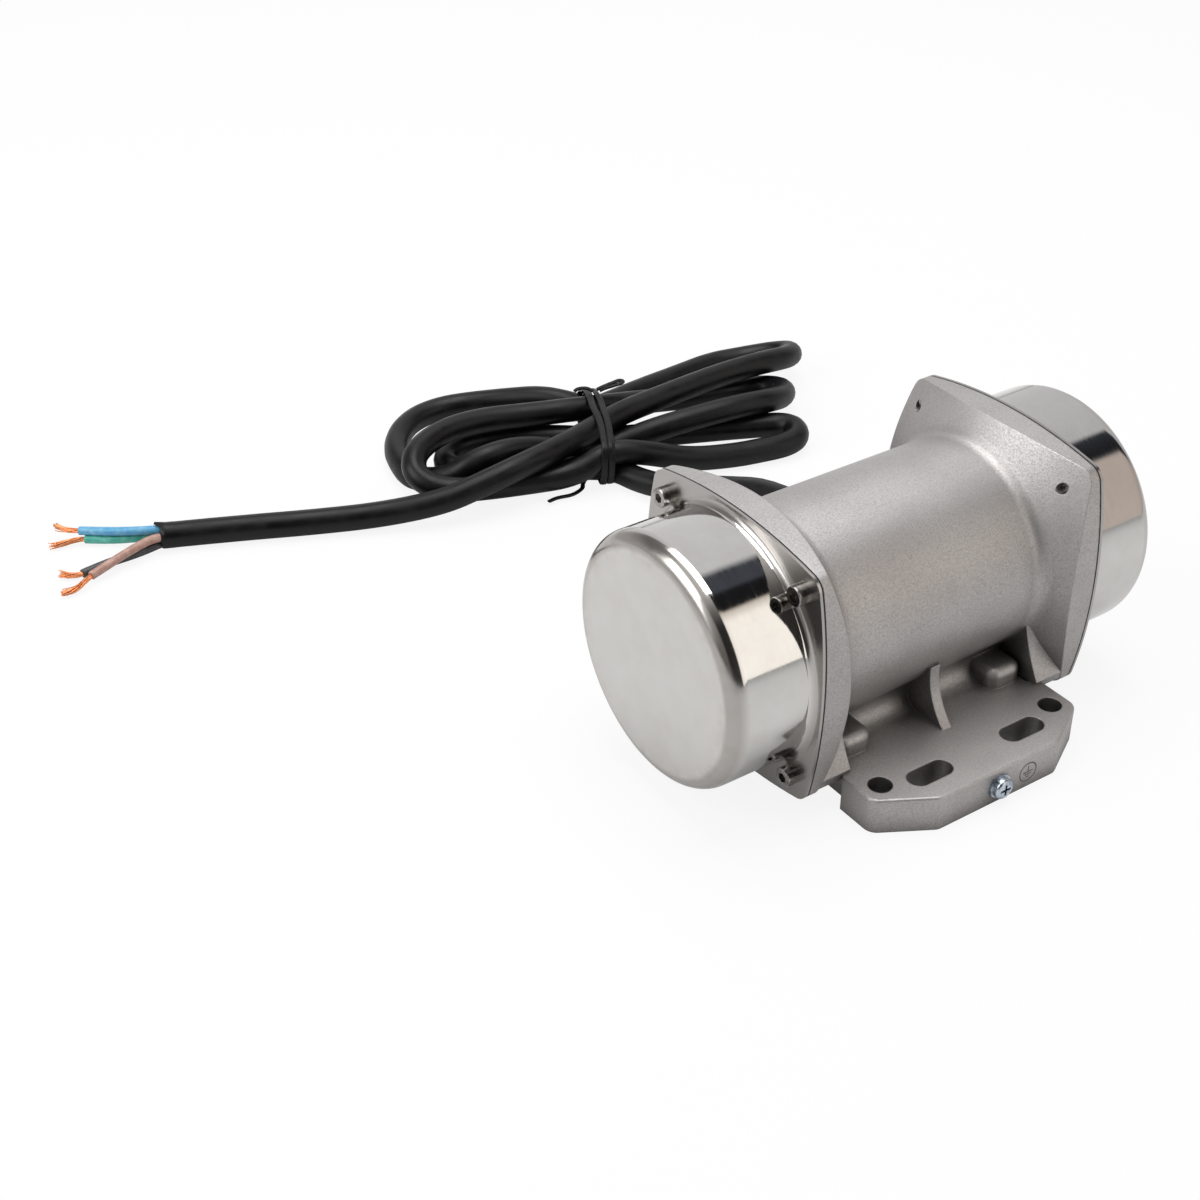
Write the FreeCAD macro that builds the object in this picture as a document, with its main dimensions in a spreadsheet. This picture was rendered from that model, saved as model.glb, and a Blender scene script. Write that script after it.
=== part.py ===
import FreeCAD, Part
import Sketcher
import math
import os
import re

# Small three-phase vibration motor: a cast aluminium body with an eccentric weight at each
# end of its shaft, under a drawn stainless cover, and a flexible cable tied in a hank.
# Frame: origin on the foot's underside below the middle of the shaft, +X along the shaft
# towards the rear cover, +Z up. The cable leaves from the +Y side. Millimetres.

SIZES = {
    # casting
    "axis_height": 40.0,          # shaft axis above the foot's underside
    "body_radius": 30.25,
    "bore_radius": 24.0,          # seat of the stator
    "flange_face": 46.0,          # machined face that carries the gasket, from mid-motor
    "flange_thickness": 8.0,      # at the middles of the sides
    "flange_half": 37.4,          # half width across the middles of the sides
    "flange_bulge": 139.0,        # radius of the bowed sides
    "flange_corner": 4.8,
    "flange_slope": 0.6,          # rise of the flange's coned back towards the rim
    "flange_reach": 50.0,         # radius past the corners
    "tap_depth": 9.5,
    "flange_root": 4.0,
    "register_radius": 31.0,
    "register_depth": 5.5,
    "foot_thickness": 10.5,
    "foot_half_width": 55.3,      # along Y
    "foot_half_length": 36.0,     # along X
    "foot_waist": 32.3,           # half length between the two wings
    "foot_waist_y": 31.0,
    "foot_wing_y": 34.8,
    "foot_bevel_x": 20.5,         # where the bevelled corners meet the long edge
    "foot_bevel_y": 46.5,         # where they meet the end
    "foot_corner": 4.0,
    "foot_edge": 0.7,
    "cove_radius": 5.0,
    "flange_root_fillet": 5.0,
    "cove_bite": 0.2,             # how far a cove runs into the body's round
    "rib_thickness": 3.2,
    "rib_foot_y": 34.8,
    "rib_top_y": 28.1,
    "rib_top_z": 27.0,
    "rib_hollow": 21.0,           # radius of the scooped sides, and its middle
    "rib_hollow_y": 49.06,
    "rib_hollow_z": 25.9,
    "pad_inner": 21.0,            # cast pads beside the flanges, |x| from here
    "pad_outer": 32.5,
    "pad_reach": 29.5,
    "pad_height": 5.6,
    "pad_corner": 3.5,
    "pad_edge": 2.4,
    "gusset_foot_x": 33.0,
    "gusset_length": 11.0,        # into the flange
    "gusset_foot_y": 34.4,
    "gusset_foot_z": 11.6,
    "gusset_top_y": 28.0,
    "gusset_top_z": 27.1,
    "gusset_base_y": 33.4,
    "gusset_base_z": 8.6,
    "gusset_hollow": 57.0,
    "gusset_hollow_y": 83.26,
    "gusset_hollow_z": 40.85,
    # foot fixings
    "hole_x": 30.0,
    "hole_y": 42.5,
    "hole_radius": 3.25,
    "slot_x": 16.25,
    "slot_y": 46.0,
    "slot_length": 14.0,
    # covers
    "gasket_thickness": 0.5,
    "sheet": 0.8,
    "cover_radius": "=flange_half - cover_rim",
    "cover_rim": 2.5,             # flange left outside the cover
    "cover_end": 71.8,            # end of the cover, from mid-motor
    "cover_edge": 4.7,
    "cover_root": 2.0,
    "cover_pitch": "=flange_half - screw_inset",    # half pitch of the four cover screws
    "screw_inset": 9.6,
    "thread_radius": 1.5,         # M3
    "cap_head_radius": 2.75,
    "cap_head_height": 3.0,
    "cap_edge": 0.3,
    "cap_socket": 1.44,
    "cap_socket_depth": 1.5,
    "cover_screw_length": 7.0,
    # end shields and bearings
    "shield_thickness": 5.0,
    "shield_hub_radius": 20.5,
    "shield_nose": 0.5,
    "shield_lip": 1.0,
    "shield_lip_radius": 9.8,
    "shield_screw_circle": 27.4,
    "shield_screw_length": 11.0,
    "sunk_head_height": 1.6,
    "sunk_cross_depth": 0.8,
    "sunk_cross_width": 0.6,
    "bearing_start": 34.0,
    "bearing_width": 10.0,
    "bearing_radius": 16.0,
    "bearing_pitch": 11.0,
    "ball_radius": 2.95,
    "ball_count": 7,
    "race_gap": 0.1,
    "cage_gap": 0.15,
    "cage_wall": 1.0,
    "cage_web": 0.6,
    "inner_land": 8.7,
    "outer_land": 13.2,
    "spring_thickness": 0.45,
    "spring_margin": 0.2,
    # rotor
    "shaft_radius": 6.0,
    "shaft_core_radius": 7.5,
    "shaft_end": 67.5,
    "shaft_chamfer": 0.6,
    "stack_half": 18.0,
    "rotor_radius": 13.6,
    "rotor_bar_radius": 1.2,
    "rotor_bar_circle": 11.6,
    "rotor_bar_count": 16,
    "end_ring_thickness": 5.0,
    "end_ring_inner": 9.0,
    # stator
    "air_gap": 0.4,
    "slot_circle": 18.2,
    "slot_radius": 2.2,
    "slot_mouth": 1.4,
    "slot_count": 12,
    "slot_liner": 0.15,
    "coil_inner": 15.2,
    "coil_outer": 21.4,
    "coil_reach": 26.5,
    "coil_start": 18.6,
    "coil_edge": 2.2,
    # eccentric weights
    "weight_start": 48.5,
    "weight_thickness": 8.0,
    "weight_gap": 0.5,
    "weight_radius": 29.0,
    "weight_hub": 11.0,
    "weight_edge": 0.6,
    "slit_width": 1.6,
    "lug_half": 8.0,
    "lug_top": 15.0,
    "clamp_height": 11.2,
    "clamp_radius": 2.0,          # M4
    "clamp_head_radius": 3.5,
    "clamp_head_height": 4.0,
    "clamp_inset": 1.0,
    "clamp_socket": 1.7,
    "clamp_socket_depth": 2.0,
    "key_width": 4.0,
    "key_height": 4.0,
    "key_depth": 2.5,
    "spacer_radius": 8.4,
    "ring_groove_radius": 5.6,
    "ring_thickness": 1.0,
    "ring_play": 0.1,
    "ring_radius": 8.6,
    # earth screw
    "earth_height": 5.1,
    "earth_head_radius": 3.0,
    "earth_head_height": 2.0,
    "earth_dome_edge": 0.9,
    "cross_length": 3.4,
    "cross_width": 0.7,
    "cross_depth": 1.2,
    "earth_washer_radius": 3.5,
    "earth_washer_thickness": 0.5,
    "earth_length": 8.0,
    "earth_bore_depth": 10.0,
    # cable gland
    "gland_x": 23.0,
    "gland_height": 27.5,
    "gland_boss_radius": 10.4,
    "gland_face": 33.0,
    "gland_thread_radius": 8.0,   # M16
    "gland_thread_length": 7.0,
    "gland_hex": 9.0,             # half across flats
    "gland_hex_length": 5.0,
    "gland_nut_length": 9.0,
    "gland_nut_wall": 1.6,
    "gland_nut_base": 16.2,       # cone that turns down the nut's corners
    "gland_nut_mouth": 7.38,
    "gland_washer_thickness": 1.0,
    "gland_inlet": 24.6,
    # cable
    "cable_radius": 4.18,
    "core_radius": 1.4,
    "copper_radius": 0.85,
    "core_pitch": 1.62,
    "lead_radius": 1.0,
    "hank_height": 18.0,
    "hank_round": 5.0,
    "hank_edge": 3.6,
    "tie_width": 9.0,
    "tie_thickness": 1.2,
    "tie_half": 27.0,
    # clearances
    "fit_gap": 0.03,              # seats that hold
    "run_gap": 0.3,               # between bodies that turn
    "thread_gap": 0.04,
    "slide_gap": 0.05,            # weight that turns on the shaft
    "bolt_gap": 0.2,              # through holes for screws
}

# Cable routes, laid out by hand: gland to hank, and hank to the stripped end.
LEAD_ROUTE = [(23.0, 25.0, 27.5), (23.0, 64.0, 27.5), (21.0, 98.0, 13.0),
              (17.5, 116.0, 5.6), (16.0, 130.0, 4.3)]
FREE_ROUTE = [(-50.0, 146.5, 8.0), (-68.0, 155.3, 5.0), (-88.0, 164.8, 4.3),
              (-110.0, 175.3, 4.3), (-130.0, 184.0, 4.3)]
# Plan of the tied hank: three narrow loops at the right, wide nested loops at the left.
HANK_PLAN = [(8.0, 134.2), (38.0, 121.5), (62.0, 114.0), (78.0, 114.0), (85.0, 124.0),
             (94.5, 142.0), (108.0, 152.0), (113.0, 166.0), (108.5, 178.0), (86.0, 187.5),
             (62.0, 186.0), (33.0, 180.5), (22.0, 184.0), (3.0, 204.0), (-20.0, 212.0),
             (-38.0, 207.5), (-51.0, 190.0), (-56.0, 170.0), (-57.0, 160.0), (-54.0, 149.0),
             (-45.0, 142.5), (-28.0, 139.5)]
TIE_CENTRE = (16.0, 157.0)
TIE_ANGLE = -20.4
# Stripped cores: label, place in the jacket (across, up), then the bend and the two ends.
CORES = [
    ("blue", (1.0, 1.0), (-141.0, 192.0, 6.2), (-151.5, 198.5, 5.6), (-157.5, 205.5, 4.6)),
    ("green", (1.0, -1.0), (-141.0, 190.0, 2.4), (-151.0, 196.5, 2.3), (-161.5, 199.5, 2.6)),
    ("brown", (-1.0, 1.0), (-144.0, 181.5, 5.8), (-157.0, 174.8, 3.2), (-166.0, 172.0, 2.2)),
    ("black", (-1.0, -1.0), (-144.0, 183.5, 2.4), (-158.5, 180.4, 2.2), (-165.6, 180.6, 2.4)),
]

doc = FreeCAD.newDocument("vibration_motor")
sheet = doc.addObject("Spreadsheet::Sheet", "Sizes")
for row, (alias, value) in enumerate(SIZES.items(), start=1):
    sheet.set("A%d" % row, alias)
    sheet.set("B%d" % row, str(value))
    sheet.setAlias("B%d" % row, alias)
doc.recompute()

X_AXIS = FreeCAD.Vector(1, 0, 0)
Y_AXIS = FreeCAD.Vector(0, 1, 0)
Z_AXIS = FreeCAD.Vector(0, 0, 1)
TO_REAR = FreeCAD.Rotation(Y_AXIS, 90)
TO_FRONT = FreeCAD.Rotation(Z_AXIS, 180).multiply(TO_REAR)
ENDS = {"front": TO_FRONT, "rear": TO_REAR}
ALONG_SIDE = FreeCAD.Rotation(X_AXIS, -90)      # local Z along +Y
NO_TURN = FreeCAD.Rotation()
WORD = re.compile(r"[a-z][a-z_]*[a-z]")
FUNCTIONS = ("sqrt", "sin", "cos", "tan", "max", "min", "mm")
named_parts = {}


def bound(text):
    """Formula with each size's alias pointed at the sheet."""
    return WORD.sub(lambda m: m.group() if m.group() in FUNCTIONS else "Sizes." + m.group(), text)


def size(text):
    """Present value of a formula of sizes."""
    value = sheet.evalExpression(bound(text))
    return float(getattr(value, "Value", value))


def bind(thing, **formulas):
    """Bind properties of an object to formulas of sizes."""
    for name, formula in formulas.items():
        thing.setExpression(name, bound(formula))
    return thing


def place(thing, x="0", y="0", z="0", turn=NO_TURN):
    """Turn an object, then bind where its origin stands."""
    thing.Placement = FreeCAD.Placement(FreeCAD.Vector(), turn)
    for letter, formula in (("x", x), ("y", y), ("z", z)):
        if formula != "0":
            thing.setExpression("Placement.Base." + letter, bound(formula))
    return thing


def cylinder(name, radius, length, x="0", y="0", z="0", turn=NO_TURN):
    """Round bar along its local Z, from its placed origin."""
    thing = doc.addObject("Part::Cylinder", name)
    bind(thing, Radius=radius, Height=length)
    return place(thing, x, y, z, turn)


def block(name, length, width, height, x="0", y="0", z="0", turn=NO_TURN):
    """Box from its placed corner."""
    thing = doc.addObject("Part::Box", name)
    bind(thing, Length=length, Width=width, Height=height)
    return place(thing, x, y, z, turn)


def sphere(name, radius, x="0", y="0", z="0"):
    """Ball about its placed origin."""
    thing = doc.addObject("Part::Sphere", name)
    bind(thing, Radius=radius)
    return place(thing, x, y, z)


def cone(name, low, high, length, x="0", y="0", z="0", turn=NO_TURN):
    """Cone along its local Z."""
    thing = doc.addObject("Part::Cone", name)
    bind(thing, Radius1=low, Radius2=high, Height=length)
    return place(thing, x, y, z, turn)


def hexagon(name, across, length, x="0", y="0", z="0", turn=NO_TURN):
    """Hexagonal bar along its local Z; across is half the width over flats."""
    prism = doc.addObject("Part::Prism", name)
    prism.Polygon = 6
    bind(prism, Circumradius="(%s) / cos(30)" % across, Height=length)
    return place(prism, x, y, z, turn)


def fused(name, pieces):
    """Union of pieces."""
    thing = doc.addObject("Part::MultiFuse", name)
    thing.Shapes = pieces
    thing.Refine = True
    return thing


def welded(name, pieces):
    """Union made one piece at a time, which suits many faces that run into each other."""
    whole = pieces[0]
    for i, piece in enumerate(pieces[1:], start=1):
        weld = doc.addObject("Part::Fuse", "%s_weld%d" % (name, i))
        weld.Base = whole
        weld.Tool = piece
        whole = weld
    whole.Refine = True
    return whole


def common(name, pieces):
    """Intersection of pieces."""
    thing = doc.addObject("Part::MultiCommon", name)
    thing.Shapes = pieces
    return thing


def cut(name, base, tools):
    """Base with tools taken away."""
    tool = tools[0] if len(tools) == 1 else fused(name + "_tools", tools)
    thing = doc.addObject("Part::Cut", name)
    thing.Base = base
    thing.Tool = tool
    return thing


def grouped(name, pieces):
    """Separate solids kept together."""
    thing = doc.addObject("Part::Compound", name)
    thing.Links = pieces
    return thing


def rounded(name, base, radius, wanted, kind="Part::Fillet"):
    """Fillet or chamfer the edges of base that wanted accepts."""
    doc.recompute([base])
    edges = [(i, size(radius), size(radius))
             for i, edge in enumerate(base.Shape.Edges, start=1) if wanted(edge)]
    thing = doc.addObject(kind, name)
    thing.Base = base
    thing.Edges = edges
    return thing


def is_upright(edge):
    """True for a straight edge along Z."""
    ends = [v.Point for v in edge.Vertexes]
    if len(ends) != 2 or not isinstance(edge.Curve, Part.Line):
        return False
    run = ends[1] - ends[0]
    return abs(run.x) + abs(run.y) < 1e-6


def is_ring_at(level, radius):
    """Test for a circle of one radius about Z at one level."""
    def test(edge):
        curve = edge.Curve
        return (isinstance(curve, Part.Circle) and abs(curve.Radius - radius) < 1e-6
                and abs(curve.Center.z - level) < 1e-6
                and math.hypot(curve.Center.x, curve.Center.y) < 1e-6)
    return test


def is_flat_at(level):
    """Test for an edge that lies wholly at one level."""
    def test(edge):
        box = edge.BoundBox
        return abs(box.ZMin - level) < 1e-6 and abs(box.ZMax - level) < 1e-6
    return test


def origin_plane(body, role):
    """One of a body's own origin planes."""
    return next(f for f in body.Origin.OriginFeatures if f.Role == role)


def polygon(body, name, role, points, offset="0"):
    """Closed sketch on an origin plane whose corners are bound to formulas."""
    sketch = body.newObject("Sketcher::SketchObject", name)
    sketch.AttachmentSupport = [(origin_plane(body, role), "")]
    sketch.MapMode = "FlatFace"
    if offset != "0":
        sketch.setExpression("AttachmentOffset.Base.z", bound(offset))
    corners = [FreeCAD.Vector(size(u), size(v), 0) for u, v in points]
    for i, corner in enumerate(corners):
        following = corners[(i + 1) % len(corners)]
        sketch.addGeometry(Part.LineSegment(corner, following), False)
    for i in range(len(corners)):
        sketch.addConstraint(Sketcher.Constraint("Coincident", i, 2, (i + 1) % len(corners), 1))
    for i, (u, v) in enumerate(points):
        for kind, axis, formula, value in (("DistanceX", -2, u, corners[i].x),
                                           ("DistanceY", -1, v, corners[i].y)):
            if formula == "0":
                sketch.addConstraint(Sketcher.Constraint("PointOnObject", i, 1, axis))
                continue
            index = sketch.addConstraint(Sketcher.Constraint(kind, -1, 1, i, 1, value))
            constraint = "%s%d" % (kind[-1].lower(), i)
            sketch.renameConstraint(index, constraint)
            sketch.setExpression("Constraints." + constraint, bound(formula))
    return sketch


def circle_sketch(body, name, role, radius, u="0", v="0", offset="0"):
    """Sketch of one circle on an origin plane."""
    sketch = body.newObject("Sketcher::SketchObject", name)
    sketch.AttachmentSupport = [(origin_plane(body, role), "")]
    sketch.MapMode = "FlatFace"
    if offset != "0":
        sketch.setExpression("AttachmentOffset.Base.z", bound(offset))
    centre = FreeCAD.Vector(size(u), size(v), 0)
    sketch.addGeometry(Part.Circle(centre, Z_AXIS, size(radius)), False)
    index = sketch.addConstraint(Sketcher.Constraint("Radius", 0, size(radius)))
    sketch.renameConstraint(index, "radius")
    sketch.setExpression("Constraints.radius", bound(radius))
    for kind, axis, formula, value in (("DistanceX", -2, u, centre.x),
                                       ("DistanceY", -1, v, centre.y)):
        if formula == "0":
            sketch.addConstraint(Sketcher.Constraint("PointOnObject", 0, 3, axis))
            continue
        index = sketch.addConstraint(Sketcher.Constraint(kind, -1, 1, 0, 3, value))
        name_of = "centre_" + kind[-1].lower()
        sketch.renameConstraint(index, name_of)
        sketch.setExpression("Constraints." + name_of, bound(formula))
    return sketch


def new_body(name):
    """Empty PartDesign body."""
    return doc.addObject("PartDesign::Body", name)


def turned(name, points):
    """Body turned about its own Z from a profile of (radius, height) corners."""
    body = new_body(name)
    profile = polygon(body, name + "_profile", "XZ_Plane", points)
    feature = body.newObject("PartDesign::Revolution", name + "_turning")
    feature.Profile = profile
    feature.ReferenceAxis = (profile, ["V_Axis"])
    feature.Angle = 360
    body.Tip = feature
    return body


def pocket(body, sketch, length, reverse=False):
    """Pocket of a bound depth; cuts against the sketch's normal unless reversed."""
    doc.recompute([body])
    before = body.Shape.Volume
    feature = body.newObject("PartDesign::Pocket", sketch.Name + "_cut")
    feature.Profile = sketch
    feature.setExpression("Length", bound(length))
    feature.Reversed = reverse
    body.Tip = feature
    doc.recompute([body])
    if body.Shape.Volume > before - 1e-6:
        raise RuntimeError("pocket cuts nothing: " + sketch.Name)
    return feature


def soften(body, name, radius, wanted):
    """PartDesign fillet on the edges of a body that wanted accepts."""
    doc.recompute([body])
    base = body.Tip
    edges = ["Edge%d" % i for i, e in enumerate(base.Shape.Edges, 1) if wanted(e)]
    if not edges:
        raise RuntimeError("no edges to soften: " + name)
    fillet = body.newObject("PartDesign::Fillet", name)
    fillet.Base = (base, edges)
    fillet.setExpression("Radius", bound(radius))
    body.Tip = fillet
    return fillet


def around(body, feature, count):
    """Polar pattern of a feature about the body's Z axis."""
    pattern = body.newObject("PartDesign::PolarPattern", feature.Name + "_round")
    axis = next(f for f in body.Origin.OriginFeatures if f.Role == "Z_Axis")
    pattern.Originals = [feature]
    pattern.Axis = (axis, [""])
    pattern.Angle = 360
    pattern.setExpression("Occurrences", bound(count))
    body.Tip = pattern
    return pattern


def keep(label, thing):
    """Name a finished sub-part; the label is also its file's name."""
    thing.Label = label
    named_parts[label] = thing
    return thing


def on_shaft(thing, end):
    """Stand a piece modelled with Z outwards at one end of the shaft."""
    place(thing, z="axis_height", turn=ENDS[end])
    return thing


def bowed_plate(name, start, thickness):
    """Square plate with bowed sides and round corners, Z outwards."""
    drums = []
    for i, (sx, sy) in enumerate(((1, 0), (-1, 0), (0, 1), (0, -1))):
        away = "(flange_half - flange_bulge)"
        drums.append(cylinder("%s_side%d" % (name, i), "flange_bulge", thickness,
                              x="%d * %s" % (sx, away) if sx else "0",
                              y="%d * %s" % (sy, away) if sy else "0", z=start))
    square = common(name + "_square", drums)
    return rounded(name, square, "flange_corner", is_upright)


def corner_bars(name, radius, start, length):
    """Four bars at the cover screws' places."""
    bars = []
    for i, (sx, sy) in enumerate(((1, 1), (-1, 1), (-1, -1), (1, -1))):
        bars.append(cylinder("%s%d" % (name, i), radius, length,
                             x="%d * cover_pitch" % sx, y="%d * cover_pitch" % sy, z=start))
    return bars


def make_housing():
    """Casting: body, two flanges, foot, rib, pads, gussets and gland boss."""
    drum = cylinder("drum", "body_radius", "2 * flange_face - flange_thickness",
                    x="flange_thickness / 2 - flange_face", z="axis_height", turn=TO_REAR)
    solids = [drum]
    for end in ENDS:
        solids.append(on_shaft(grouped(end + "_flange", [make_flange(end)]), end))
        solids.append(make_gusset(end))
    solids.append(make_foot())
    solids.append(make_pedestal())
    solids.append(make_rib())
    solids += [make_pads(end) for end in ENDS]
    solids.append(cylinder("gland_boss", "gland_boss_radius", "gland_face", x="gland_x",
                           z="gland_height", turn=ALONG_SIDE))
    casting = welded("casting", solids)
    tools = [cylinder("stator_bore", "bore_radius + fit_gap", "2 * flange_face",
                      x="0 - flange_face", z="axis_height", turn=TO_REAR)]
    for end in ENDS:
        recess = cylinder(end + "_register", "register_radius + fit_gap",
                          "register_depth + 1", z="flange_face - register_depth")
        tools.append(on_shaft(grouped(end + "_recess", [recess]), end))
        bars = corner_bars(end + "_tap", "thread_radius", "flange_face - tap_depth",
                           "2 * tap_depth")
        tools.append(on_shaft(grouped(end + "_taps", bars), end))
        tools.append(on_shaft(grouped(end + "_shield_taps", shield_bars(
            end + "_shield_tap", "thread_radius",
            "flange_face - register_depth - shield_screw_length", "shield_screw_length + 1")),
            end))
    tools += foot_tools()
    tools.append(cylinder("earth_tap", "thread_radius", "earth_bore_depth",
                          y="0 - foot_half_width", z="earth_height", turn=ALONG_SIDE))
    tools.append(cylinder("gland_tap", "gland_thread_radius",
                          "gland_thread_length + 1", x="gland_x",
                          y="gland_face - gland_thread_length", z="gland_height",
                          turn=ALONG_SIDE))
    tools.append(cylinder("gland_way", "cable_radius + run_gap", "gland_face", x="gland_x",
                          y="bore_radius / 2", z="gland_height", turn=ALONG_SIDE))
    keep("housing", cut("housing", casting, tools))


def shield_bars(name, radius, start, length):
    """Four bars at the end shield screws' places."""
    bars = []
    for i, (sx, sy) in enumerate(((1, 0), (0, 1), (-1, 0), (0, -1))):
        bars.append(cylinder("%s%d" % (name, i), radius, length,
                             x="%d * shield_screw_circle" % sx if sx else "0",
                             y="%d * shield_screw_circle" % sy if sy else "0", z=start))
    return bars


def make_flange(end):
    """Flange of bowed sides whose coned back runs down to a fillet on the body."""
    def back(radius):
        return ("(flange_face - flange_thickness + flange_slope * (%s - flange_half))" % radius)

    start = "(%s - flange_root)" % back("body_radius")
    body = turned(end + "_flange_cone", [
        ("bore_radius + 1", start), ("body_radius", start),
        ("body_radius", back("body_radius")), ("flange_reach", back("flange_reach")),
        ("flange_reach", "flange_face"), ("bore_radius + 1", "flange_face")])
    soften(body, end + "_root_fillet", "flange_root_fillet",
           is_ring_at(size(back("body_radius")), size("body_radius")))
    plate = bowed_plate(end + "_flange_plate", start, "flange_face - " + start)
    return common(end + "_flange_blank", [plate, body])


def scooped(name, solid, half_length, feature):
    """Solid with a long round hollow along both of its sides."""
    bars = [cylinder("%s_hollow_%s" % (name, side), feature + "_hollow", "2 * " + half_length,
                     x="0 - " + half_length, y="%s * %s_hollow_y" % (sign, feature),
                     z=feature + "_hollow_z", turn=TO_REAR)
            for side, sign in (("far", "1"), ("near", "-1"))]
    return cut(name + "_scooped", solid, bars)


def make_gusset(end):
    """Web that carries a flange's lower half down to the foot, with hollow sides."""
    body = new_body(end + "_gusset")
    half = [("gusset_base_y", "gusset_base_z"), ("gusset_foot_y", "gusset_foot_z"),
            ("gusset_top_y", "gusset_top_z")]
    points = half + [("0 - " + y, z) for y, z in reversed(half)]
    start = "gusset_foot_x" if end == "rear" else "-1 * gusset_foot_x"
    outline = polygon(body, end + "_gusset_outline", "YZ_Plane", points, offset=start)
    pad = body.newObject("PartDesign::Pad", end + "_gusset_pad")
    pad.Profile = outline
    pad.setExpression("Length", bound("gusset_length"))
    pad.Reversed = end == "front"
    body.Tip = pad
    return scooped(end + "_gusset", body, "(gusset_foot_x + gusset_length + 1)", "gusset")


def make_foot():
    """Foot plate with bevelled corners and a waist between its wings."""
    body = new_body("foot_plate")
    quarter = [("foot_waist", "foot_waist_y"), ("foot_half_length", "foot_wing_y"),
               ("foot_half_length", "foot_bevel_y"), ("foot_bevel_x", "foot_half_width")]
    points = list(quarter)
    points += [("0 - " + u, v) for u, v in reversed(quarter)]
    points += [("0 - " + u, "0 - " + v) for u, v in quarter]
    points += [(u, "0 - " + v) for u, v in reversed(quarter)]
    outline = polygon(body, "foot_outline", "XY_Plane", points)
    pad = body.newObject("PartDesign::Pad", "foot_pad")
    pad.Profile = outline
    pad.setExpression("Length", bound("foot_thickness"))
    body.Tip = pad
    reach = size("foot_wing_y") + 1e-3
    soften(body, "foot_corners", "foot_corner",
           lambda e: is_upright(e) and abs(e.Vertexes[0].Y) > reach)
    top = is_flat_at(size("foot_thickness"))
    soften(body, "foot_rim", "foot_edge", lambda e: top(e) and abs(e.CenterOfMass.y) > reach)
    return body


COVE_Y = ("(sqrt((body_radius + cove_radius)^2"
          " - (axis_height - foot_thickness - cove_radius)^2) - cove_bite)")
CROWN_Z = ("(axis_height - (axis_height - foot_thickness - cove_radius)"
           " * body_radius / (body_radius + cove_radius))")


def make_pedestal():
    """Pedestal under the body, with a cove along each side that runs into the foot."""
    length = "2 * foot_waist"
    lump = block("pedestal_block", length, "2 * " + COVE_Y, CROWN_Z + " - foot_thickness + 1",
                 x="0 - foot_waist", y="0 - " + COVE_Y, z="foot_thickness - 1")
    coves = [cylinder("cove_" + side, "cove_radius", length + " + 2",
                      x="0 - foot_waist - 1", y=sign + " * " + COVE_Y,
                      z="foot_thickness + cove_radius", turn=TO_REAR)
             for side, sign in (("far", "1"), ("near", "-1"))]
    return cut("pedestal", lump, coves)


def make_rib():
    """Thin rib across the middle, from foot to body, with hollow sides."""
    body = new_body("rib")
    outline = polygon(body, "rib_outline", "YZ_Plane", [
        ("rib_foot_y", "foot_thickness - 1"), ("rib_foot_y", "foot_thickness"),
        ("rib_top_y", "rib_top_z"), ("0 - rib_top_y", "rib_top_z"),
        ("0 - rib_foot_y", "foot_thickness"), ("0 - rib_foot_y", "foot_thickness - 1")])
    pad = body.newObject("PartDesign::Pad", "rib_pad")
    pad.Profile = outline
    pad.SideType = "Symmetric"
    pad.setExpression("Length", bound("rib_thickness"))
    body.Tip = pad
    return scooped("rib", body, "rib_thickness", "rib")


def make_pads(end):
    """Pair of rounded cast pads on the foot beside a flange, one block under the body."""
    raw = block(end + "_pads_raw", "pad_outer - pad_inner", "2 * pad_reach", "pad_height + 1",
                x="pad_inner" if end == "rear" else "0 - pad_outer", y="0 - pad_reach",
                z="foot_thickness - 1")
    corners = rounded(end + "_pads_corners", raw, "pad_corner", is_upright)
    return rounded(end + "_pads", corners, "pad_edge",
                   is_flat_at(size("foot_thickness + pad_height")))


def foot_tools():
    """Four round holes and four slots through the foot."""
    tools = []
    half_run = "(slot_length / 2 - hole_radius)"
    for i, (sx, sy) in enumerate(((1, 1), (-1, 1), (-1, -1), (1, -1))):
        tools.append(cylinder("foot_hole%d" % i, "hole_radius", "foot_thickness + 2",
                              x="%d * hole_x" % sx, y="%d * hole_y" % sy, z="-1"))
        for j, way in enumerate((-1, 1)):
            tools.append(cylinder("slot_end%d_%d" % (i, j), "hole_radius",
                                  "foot_thickness + 2",
                                  x="%d * slot_x + %d * %s" % (sx, way, half_run),
                                  y="%d * slot_y" % sy, z="-1"))
        tools.append(block("slot_run%d" % i, "2 * " + half_run, "2 * hole_radius",
                           "foot_thickness + 2", x="%d * slot_x - %s" % (sx, half_run),
                           y="%d * slot_y - hole_radius" % sy, z="-1"))
    return tools


def make_cover(end):
    """Drawn stainless cover: a cup with a bowed flange."""
    seat = "flange_face + gasket_thickness"
    plate = bowed_plate(end + "_cover_plate", seat, "sheet")
    cup = cylinder(end + "_cup", "cover_radius", "cover_end - flange_face - gasket_thickness",
                   z=seat)
    solid = fused(end + "_cover_solid", [plate, cup])
    root = is_ring_at(size(seat + " + sheet"), size("cover_radius"))
    filled = rounded(end + "_cover_root", solid, "cover_root", root)
    rim = is_ring_at(size("cover_end"), size("cover_radius"))
    outside = rounded(end + "_cover_outside", filled, "cover_edge", rim)
    hollow = cylinder(end + "_hollow", "cover_radius - sheet",
                      "cover_end - sheet - (%s) + 1" % seat, z=seat + " - 1")
    inner_rim = is_ring_at(size("cover_end - sheet"), size("cover_radius - sheet"))
    inside = rounded(end + "_inside", hollow, "cover_edge - sheet", inner_rim)
    holes = corner_bars(end + "_cover_hole", "thread_radius + bolt_gap", seat + " - 1",
                        "sheet + 2")
    shell = cut(end + "_cover", outside, [inside] + holes)
    keep(end + "_cover", on_shaft(shell, end))


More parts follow.
